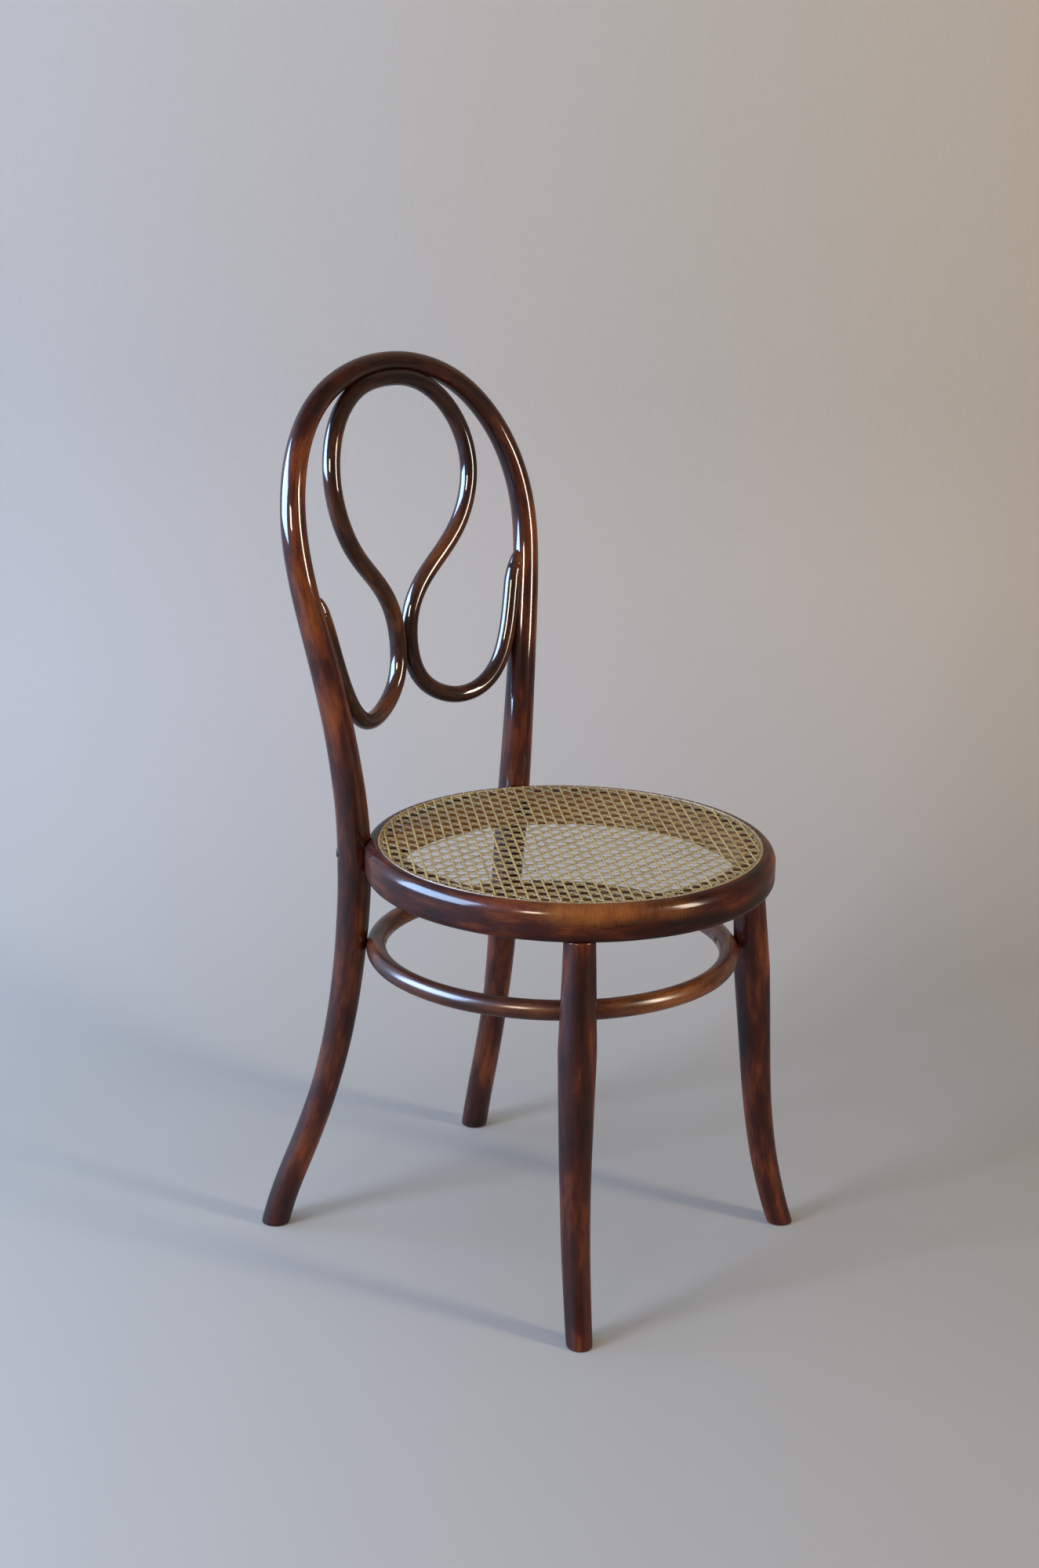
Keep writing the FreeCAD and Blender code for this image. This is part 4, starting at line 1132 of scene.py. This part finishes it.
@dataclass
class CaneSeat:
    """Six-way caning: upright and level pairs woven over and under each other, and two diagonals."""
    pitch: float = 14.4
    spread: float = 0.8
    pair_width: float = 1.35
    diagonal_width: float = 2.15
    under_width: float = 1.25
    rise: float = 0.2
    over_height: float = 0.6
    under_height: float = -0.45
    reach: float = 194.5
    height: float = 445.3
    sag: float = 2.5
    bed_inside: float = 192.0
    bed_outside: float = 197.9
    bed_top: float = 444.5
    edge_width: float = 2.8
    edge_outside: float = 198.1
    edge_bottom: float = 444.6
    edge_top: float = 446.4
    tie_width: float = 1.9
    tie_rise: float = 0.5
    pair_stray: float = 0.22
    diagonal_stray: float = 0.2
    diagonal_wave: float = 0.12
    section: Tuple[Tuple[float, float], ...] = ((0.5, -0.06), (0.34, 0.12), (0.0, 0.18), (-0.34, 0.12),
                                                (-0.5, -0.06), (0.0, -0.12))

    def lie(self, plan: np.ndarray) -> np.ndarray:
        """Height of the weave: it hangs by the sag times one less the squared share of the radius."""
        share = np.linalg.norm(plan, axis=-1) / (self.reach * MM)
        return (self.height - self.sag * np.clip(1 - share ** 2, 0, 1)) * MM

    def pairs(self, along_x: bool) -> List[Tuple[np.ndarray, np.ndarray]]:
        """The strands of one square direction, two side by side at each pitch.

        A strand's height is an odd bump u exp((1 - u^2) / 2) about each crossing, so it passes
        over one strand of the other pair and under its neighbour.

        Args:
            along_x: whether the strands run along X.

        Returns:
            Points and unbent places of each strand.
        """
        pitch, spread = self.pitch * MM, self.spread * MM
        heading = np.array([1.0, 0.0]) if along_x else np.array([0.0, 1.0])
        aside = heading[::-1]
        number_each_side = int(self.reach / self.pitch)
        random = np.random.default_rng(3 if along_x else 4)
        strands = []
        for count in range(-number_each_side, number_each_side + 1):
            for sign in (-1, 1):
                offset = count * pitch + sign * spread + random.normal(0, self.pair_stray * MM)
                reach = math.sqrt(max((self.reach * MM) ** 2 - offset ** 2, 0))
                places = np.arange(-number_each_side - 1, number_each_side + 2) * pitch
                at = (places[:, None] + WEAVE_STEPS).ravel()
                at = np.concatenate([[-reach], at[np.abs(at) < reach - END_GAP], [reach]])
                u = (at - np.round(at / pitch) * pitch) / spread
                weave = u * np.exp((1 - u * u) / 2) * self.rise * MM * sign * (1 if along_x else -1)
                plan = aside * offset + at[:, None] * heading
                strands.append(strand_rows(at, self.lie(plan) + weave, aside * offset, heading,
                                           self.pair_width * MM * random.uniform(0.9, 1.08),
                                           np.array(self.section), len(strands)))
        return strands

    def diagonals(self, lean: int) -> List[Tuple[np.ndarray, np.ndarray]]:
        """The strands of one slanting direction, half a pitch off the crossings.

        Those that lean left are laid last, over both pairs, and the others run under them. The
        height is a level plus a small cosine that peaks on each pair.

        Args:
            lean: one for strands that run up to the left, minus one for the others.

        Returns:
            Points and unbent places of each strand.
        """
        pitch = self.pitch * MM
        half_step = pitch * math.sqrt(0.5)
        heading = np.array([lean, 1.0]) * math.sqrt(0.5)
        aside = np.array([1.0, -lean]) * math.sqrt(0.5)
        count_most = int(self.reach * MM / half_step)
        random = np.random.default_rng(8 + lean)
        strands = []
        for count in range(-count_most - 1, count_most + 1):
            offset = (count + 0.5) * half_step
            if abs(offset) > (self.reach - 2) * MM:
                continue
            reach = math.sqrt((self.reach * MM) ** 2 - offset ** 2)
            # In plan x = aside * offset + at * heading; a level pair is met where y is a whole
            # number of pitches, which is a whole number of half steps shifted by the offset.
            met = -aside[1] * offset / heading[1]
            shifts = np.arange(-0.5, 0.5, 0.25) * half_step
            turns = np.arange(-2 * count_most - 2, 2 * count_most + 3) * half_step
            at = (met + turns[:, None] + shifts).ravel()
            at = np.concatenate([[-reach], at[np.abs(at) < reach - END_GAP], [reach]])
            level = self.over_height if lean > 0 else self.under_height
            weave = (level + lean * self.diagonal_wave * np.cos(2 * np.pi * (at - met) / half_step)) * MM
            shifted = offset + random.normal(0, self.diagonal_stray * MM)
            plan = aside * shifted + at[:, None] * heading
            strands.append(strand_rows(at, self.lie(plan) + weave, aside * shifted, heading,
                                       (self.diagonal_width if lean > 0 else self.under_width) * MM
                                       * random.uniform(0.92, 1.06),
                                       np.array(self.section), len(strands)))
        return strands

    def closed_strip(self, name: str, turn: np.ndarray, radius: np.ndarray, height: np.ndarray,
                     unbent: np.ndarray) -> bpy.types.Object:
        """Join a grid of points round the seat's middle into one ring.

        Args:
            name: the piece's name.
            turn: angle of each point.
            radius: distance of each point from the middle.
            height: height of each point.
            unbent: unbent place of each point.

        Returns:
            The new object.
        """
        points = np.stack([radius * np.sin(turn), SEAT_Y + radius * np.cos(turn), height], -1)
        faces = grid_faces(*turn.shape, closed_rows=True)
        return make_mesh(name, points.reshape(-1, 3), faces, unbent.reshape(-1, 3))

    def edge_strip(self) -> bpy.types.Object:
        """The binder: a shallow arch of cane laid round the edge."""
        around = np.linspace(0, 2 * np.pi, 300, endpoint=False)
        across = np.array([-0.5, -0.44, -0.25, 0.0, 0.25, 0.44, 0.5, 0.3, -0.3])
        arch = np.array([0.1, 0.62, 0.93, 1.0, 0.93, 0.62, 0.1, 0.0, 0.0])
        turn, column = np.meshgrid(around, np.arange(len(across)), indexing="ij")
        middle = (self.edge_outside - self.edge_width / 2) * MM
        radius = middle + across[column] * self.edge_width * MM
        height = self.edge_bottom * MM + arch[column] * (self.edge_top - self.edge_bottom) * MM
        height = height + wobble(turn * middle, column * 0.1, 6, 0.1 * MM, 2 * np.pi * middle / 9)
        height = np.minimum(height, self.edge_top * MM)
        unbent = np.stack([across[column] * self.edge_width * MM, arch[column] * MM, turn * middle], -1)
        return self.closed_strip("cane_edge_strip", turn, radius, height, unbent)

    def bed(self) -> bpy.types.Object:
        """The weave's trimmed ends, pressed flat and glued side by side into the rebate."""
        around = np.linspace(0, 2 * np.pi, 360, endpoint=False)
        section = np.array([[self.bed_inside, self.bed_top - 0.35], [self.bed_outside, self.bed_top - 0.35],
                            [self.bed_outside, self.bed_top], [196.0, self.bed_top], [194.0, self.bed_top],
                            [self.bed_inside, self.bed_top]]) * MM
        turn, row = np.meshgrid(around, np.arange(len(section)), indexing="ij")
        radius, height = section[row, 0], section[row, 1]
        unbent = np.stack([turn * 190.0 * MM, height, radius * 3], -1)
        return self.closed_strip("cane_glued_ends", turn, radius, height, unbent)

    def ties(self) -> bpy.types.Object:
        """Short loops of cane over the edge strip, one to each pitch, that hold it down."""
        middle = (self.edge_outside - self.edge_width / 2) * MM
        count = int(round(2 * np.pi * middle / (self.pitch * MM)))
        random = np.random.default_rng(12)
        at = np.linspace(-1, 1, 9)
        reach = (self.edge_width / 2 + 0.1) * MM
        # Over the strip the loop is an ellipse in section: height follows the root of 1 - t^2.
        height = self.edge_bottom * MM + (self.edge_top + self.tie_rise - self.edge_bottom) * MM * np.sqrt(
            np.clip(1 - at ** 4, 0, 1))
        strands = []
        for number in range(count):
            turn = 2 * np.pi * (number + random.normal(0, 0.05)) / count
            out = np.array([math.sin(turn), math.cos(turn)])
            strands.append(strand_rows(at * reach, height, out * middle, out, self.tie_width * MM,
                                       np.array(self.section), number))
        return join_strands("cane_edge_ties", [(place + np.array([0.0, SEAT_Y, 0.0]), flat)
                                               for place, flat in strands])

    def make(self, cane: bpy.types.Material, highlit_cane: bpy.types.Material, edge: bpy.types.Material) -> None:
        """Build and dress the weave and its edge; the strands laid last are paler, a painted highlight for
        the sheen on their tops.

        Args:
            cane: the finish of most strands.
            highlit_cane: the finish of the strands laid last.
            edge: the edge's finish.
        """
        runs = {"cane_pairs_across": self.pairs(True), "cane_pairs_ahead": self.pairs(False),
                "cane_diagonals_left": self.diagonals(1), "cane_diagonals_right": self.diagonals(-1)}
        for name, strands in runs.items():
            moved = [(place + np.array([0.0, SEAT_Y, 0.0]), flat) for place, flat in strands]
            # The strands laid last get the paler cane: a painted highlight for the sheen on top of them.
            finish = highlit_cane if name == "cane_diagonals_left" else cane
            dress(join_strands(name, moved), finish, "cane", "cane_panel")
        dress(self.bed(), edge, "cane", "cane_panel")
        dress(self.edge_strip(), edge, "cane", "cane_binder")
        dress(self.ties(), edge, "cane", "cane_binder")


# Steel

@dataclass(frozen=True)
class Steelwork:
    """The screws, bolts, washers and nuts, whose solids are shown as they are."""
    names: Tuple[str, ...] = ("seat_bolts", "seat_bolt_washers", "seat_bolt_nuts", "leg_ring_screws",
                              "scroll_tip_screws", "scroll_crown_screw")

    def make(self, steel: bpy.types.Material) -> None:
        """Give each its finish."""
        for name in self.names:
            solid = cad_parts[name]
            solid.data.materials.clear()
            solid.data.materials.append(steel)
            LOG.info("%s: dressed", name)


# The studio

@dataclass(frozen=True)
class Lamp:
    """A soft rectangular light that is either mirrored by polish or spread over dull surfaces."""
    name: str
    place: Tuple[float, float, float]
    size: Tuple[float, float]
    watts: float
    colour: str
    mirrored: bool = False
    target: Tuple[float, float, float] = (0.0, 0.0, 0.6)

    def make(self) -> None:
        """Add the light."""
        data = bpy.data.lights.new(self.name, "AREA")
        data.shape = "RECTANGLE"
        data.size, data.size_y = self.size
        data.energy = self.watts
        data.color = linear(self.colour)[:3]
        lamp = bpy.data.objects.new(self.name, data)
        lamp.location = self.place
        aim = Vector(self.target) - Vector(self.place)
        lamp.rotation_euler = aim.to_track_quat("-Z", "Y").to_euler()
        lamp.visible_glossy = self.mirrored
        lamp.visible_diffuse = not self.mirrored
        bpy.context.scene.collection.objects.link(lamp)


@dataclass
class Studio:
    """A pale cloth floor that sweeps up behind the chair, six soft lights, a dim room and the camera."""
    stand: Tuple[float, float, float] = (-2.0685, -1.5559, 1.2613)
    turn: float = -52.399
    tilt: float = 16.392
    roll: float = 1.135
    focal_px: float = 3342.66
    picture: Tuple[int, int] = (1325, 2000)
    film_height: float = 36.0
    bend: float = 0.75
    bend_steps: int = 24
    wall: float = 1.1
    wall_top: float = 5.0
    start: float = -3.0
    half_width: float = 3.0
    below_feet: float = 0.0002
    fill: float = 0.12
    pale: float = 0.5
    lamps: Tuple[Lamp, ...] = (
        Lamp("window", (-2.9, 0.74, 1.5), (0.9, 1.1), 84, "e3e9ff"),
        Lamp("window_pane", (-2.02, 1.9, 1.6), (2.7, 1.9), 860, "b4d2ff", mirrored=True),
        Lamp("lamp_right", (0.5, -2.95, 1.5), (0.4, 0.9), 50, "ffe9cc"),
        Lamp("lamp_right_glow", (0.75, -2.9, 1.6), (0.6, 1.5), 150, "fff0dc", mirrored=True),
        Lamp("lamp_left_glow", (-3.3, -1.0, 2.1), (0.6, 0.8), 130, "ffe6cc", mirrored=True),
        Lamp("ceiling", (-0.6, -0.4, 3.6), (3.0, 3.0), 46, "fff4e8", target=(0.0, 0.6, 0.0)))

    def camera(self) -> None:
        """Place the camera.

        Its back is (sin a cos e, -cos a cos e, sin e) for turn a and tilt e, its right is
        (cos a, sin a, 0), and both its right and up are then turned by the roll.
        """
        a, e, roll = (math.radians(v) for v in (self.turn, self.tilt, self.roll))
        back = Vector((math.sin(a) * math.cos(e), -math.cos(a) * math.cos(e), math.sin(e)))
        right = Vector((math.cos(a), math.sin(a), 0.0))
        up = back.cross(right)
        x = right * math.cos(roll) + up * math.sin(roll)
        y = up * math.cos(roll) - right * math.sin(roll)
        data = bpy.data.cameras.new("camera")
        data.sensor_fit = "VERTICAL"
        data.sensor_height = self.film_height
        data.lens = self.focal_px / self.picture[1] * self.film_height
        eye = bpy.data.objects.new("camera", data)
        bpy.context.scene.collection.objects.link(eye)
        eye.matrix_world = Matrix(((x[0], y[0], back[0], self.stand[0]), (x[1], y[1], back[1], self.stand[1]),
                                   (x[2], y[2], back[2], self.stand[2]), (0, 0, 0, 1)))
        bpy.context.scene.camera = eye

    def sweep(self) -> None:
        """The floor and backdrop: one sheet, level, then a quarter circle up to a wall.

        The wall faces the camera: it stands a distance away along the camera's heading.
        """
        a = math.radians(self.turn)
        ahead = np.array([-math.sin(a), math.cos(a)])
        aside = np.array([math.cos(a), math.sin(a)])
        turns = np.radians(np.linspace(0, 90, self.bend_steps))
        run = np.concatenate([[self.start], self.wall - self.bend + self.bend * np.sin(turns), [self.wall]])
        rise = np.concatenate([[0.0], self.bend * (1 - np.cos(turns)), [self.wall_top]])
        r, s = np.meshgrid(np.arange(len(run)), [-self.half_width, self.half_width], indexing="ij")
        points = np.stack([ahead[0] * run[r] + aside[0] * s, ahead[1] * run[r] + aside[1] * s,
                           rise[r] - self.below_feet], -1).reshape(-1, 3)
        rows = np.arange(len(run) - 1)[:, None] * 2
        mesh = bpy.data.meshes.new("sweep")
        mesh.from_pydata(points.tolist(), [], (rows + np.array([0, 1, 3, 2])).tolist())
        mesh.polygons.foreach_set("use_smooth", np.ones(len(mesh.polygons), bool))
        mesh.materials.append(self.cloth())
        sheet = bpy.data.objects.new("sweep", mesh)
        bpy.context.scene.collection.objects.link(sheet)

    def cloth(self) -> bpy.types.Material:
        """The sweep's finish: pale grey cloth, cooler on the floor, warmer up the wall, with painted light in
        its colour: bluish on the left, as under the window's light, warmer on the right, as under the lamps',
        and painted shade that darkens the floor on the right.

        Returns:
            The material.
        """
        material, tree = new_material("backdrop_cloth")
        place = add_node(tree, "ShaderNodeTexCoord").outputs["Object"]
        height = ranged(tree, split(tree, place)["Z"], (0.0, 1.0))
        turned = add_node(tree, "ShaderNodeVectorRotate", {"rotation_type": "Z_AXIS"},
                          {"Vector": place, "Angle": -math.radians(self.turn)}).outputs[0]
        aside = ranged(tree, split(tree, turned)["X"], (-0.7, 0.7))
        # Painted light and shade: the left ramp is the window's bluish light, the right ramp the lamps'
        # warmer light, with a shaded floor.
        window_lit_tint = ramp(tree, height, [(0.0, "a8afb2"), (0.35, "aeb3b8"), (1.0, "aeb0af")])
        warm = ramp(tree, height, [(0.0, "93908c"), (0.5, "aaa194"), (1.0, "aaa191")])
        # Threads 1.4 mm apart and 25 mm long.
        thread = ranged(tree, noise(tree, turned, stretch=(700, 700, 40)), (0.0, 1.0), (0.94, 1.05))
        colour = blend(tree, 1.0, blend(tree, aside, window_lit_tint, warm), thread, "MULTIPLY")
        shader = add_node(tree, "ShaderNodeBsdfPrincipled", links={"Base Color": colour, "Roughness": 0.9})
        # Seen from behind the sheet is clear, so that the chair's back can be looked at too.
        behind = add_node(tree, "ShaderNodeNewGeometry").outputs["Backfacing"]
        clear = add_node(tree, "ShaderNodeBsdfTransparent").outputs[0]
        close_tree(tree, add_node(tree, "ShaderNodeMixShader",
                                  links={0: behind, 1: shader.outputs[0], 2: clear}))
        return material

    def make(self) -> None:
        """Set up the camera, the sweep, the lights and the world."""
        bpy.context.scene.view_settings.view_transform = "Standard"
        self.camera()
        self.sweep()
        for lamp in self.lamps:
            lamp.make()
        self.room()

    def room(self) -> None:
        """The world: a dim fill, seen by the camera as a pale wall where the sheet ends."""
        world = bpy.data.worlds.new("room")
        world.use_nodes = True
        tree = world.node_tree
        shade = tree.nodes["Background"]
        shade.inputs["Color"].default_value = linear("d9d6d2")
        path = add_node(tree, "ShaderNodeLightPath")
        strength = ranged(tree, path.outputs["Is Camera Ray"], (0.0, 1.0), (self.fill, self.pale))
        tree.links.new(strength, shade.inputs["Strength"])
        bpy.context.scene.world = world


def main() -> None:
    """Build the chair's pieces in order, then the studio."""
    logging.basicConfig(level=logging.INFO, format="%(message)s")
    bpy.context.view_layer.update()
    wood = PolishedBeech().material()
    darker = PolishedBeech(name="dark_beech", dark="1b0e0a", middle="381a10", warm="74401d").material()
    rubbed = PolishedBeech(name="rubbed_beech", coat=0.32, coat_roughness=0.15, wear=0.95).material()
    satin = PolishedBeech(name="satin_beech", coat=0.45, coat_roughness=0.2).material()
    # Painted light: the leg ring's lighter, warmer colours stand in for the lamp light on it; only its
    # rougher coat is its own finish.
    brushed_lit = PolishedBeech(name="brushed_beech_painted_light", dark="34170d", middle="5a2d17", warm="94592c", coat=0.6,
                            coat_roughness=0.24).material()
    cane = WovenCane().material()
    edge = WovenCane(name="cane_edge", pale="b3a078", straw="98835a", brown="6f5b36").material()
    # Paler cane for the strands laid on top: a painted highlight.
    highlit_cane = WovenCane(name="cane_over_highlit", pale="cdbb80", straw="ae9a5c", brown="7d6a38").material()
    steel = AgedSteel().material()
    ring = LegRing()
    Back().make(wood, darker)
    SeatFrame().make(rubbed)
    for side in Side:
        FrontLeg(side).make(satin, ring)
    ring.make(brushed_lit)
    CaneSeat().make(cane, highlit_cane, edge)
    Steelwork().make(steel)
    Studio().make()


if __name__ == "__main__":
    main()
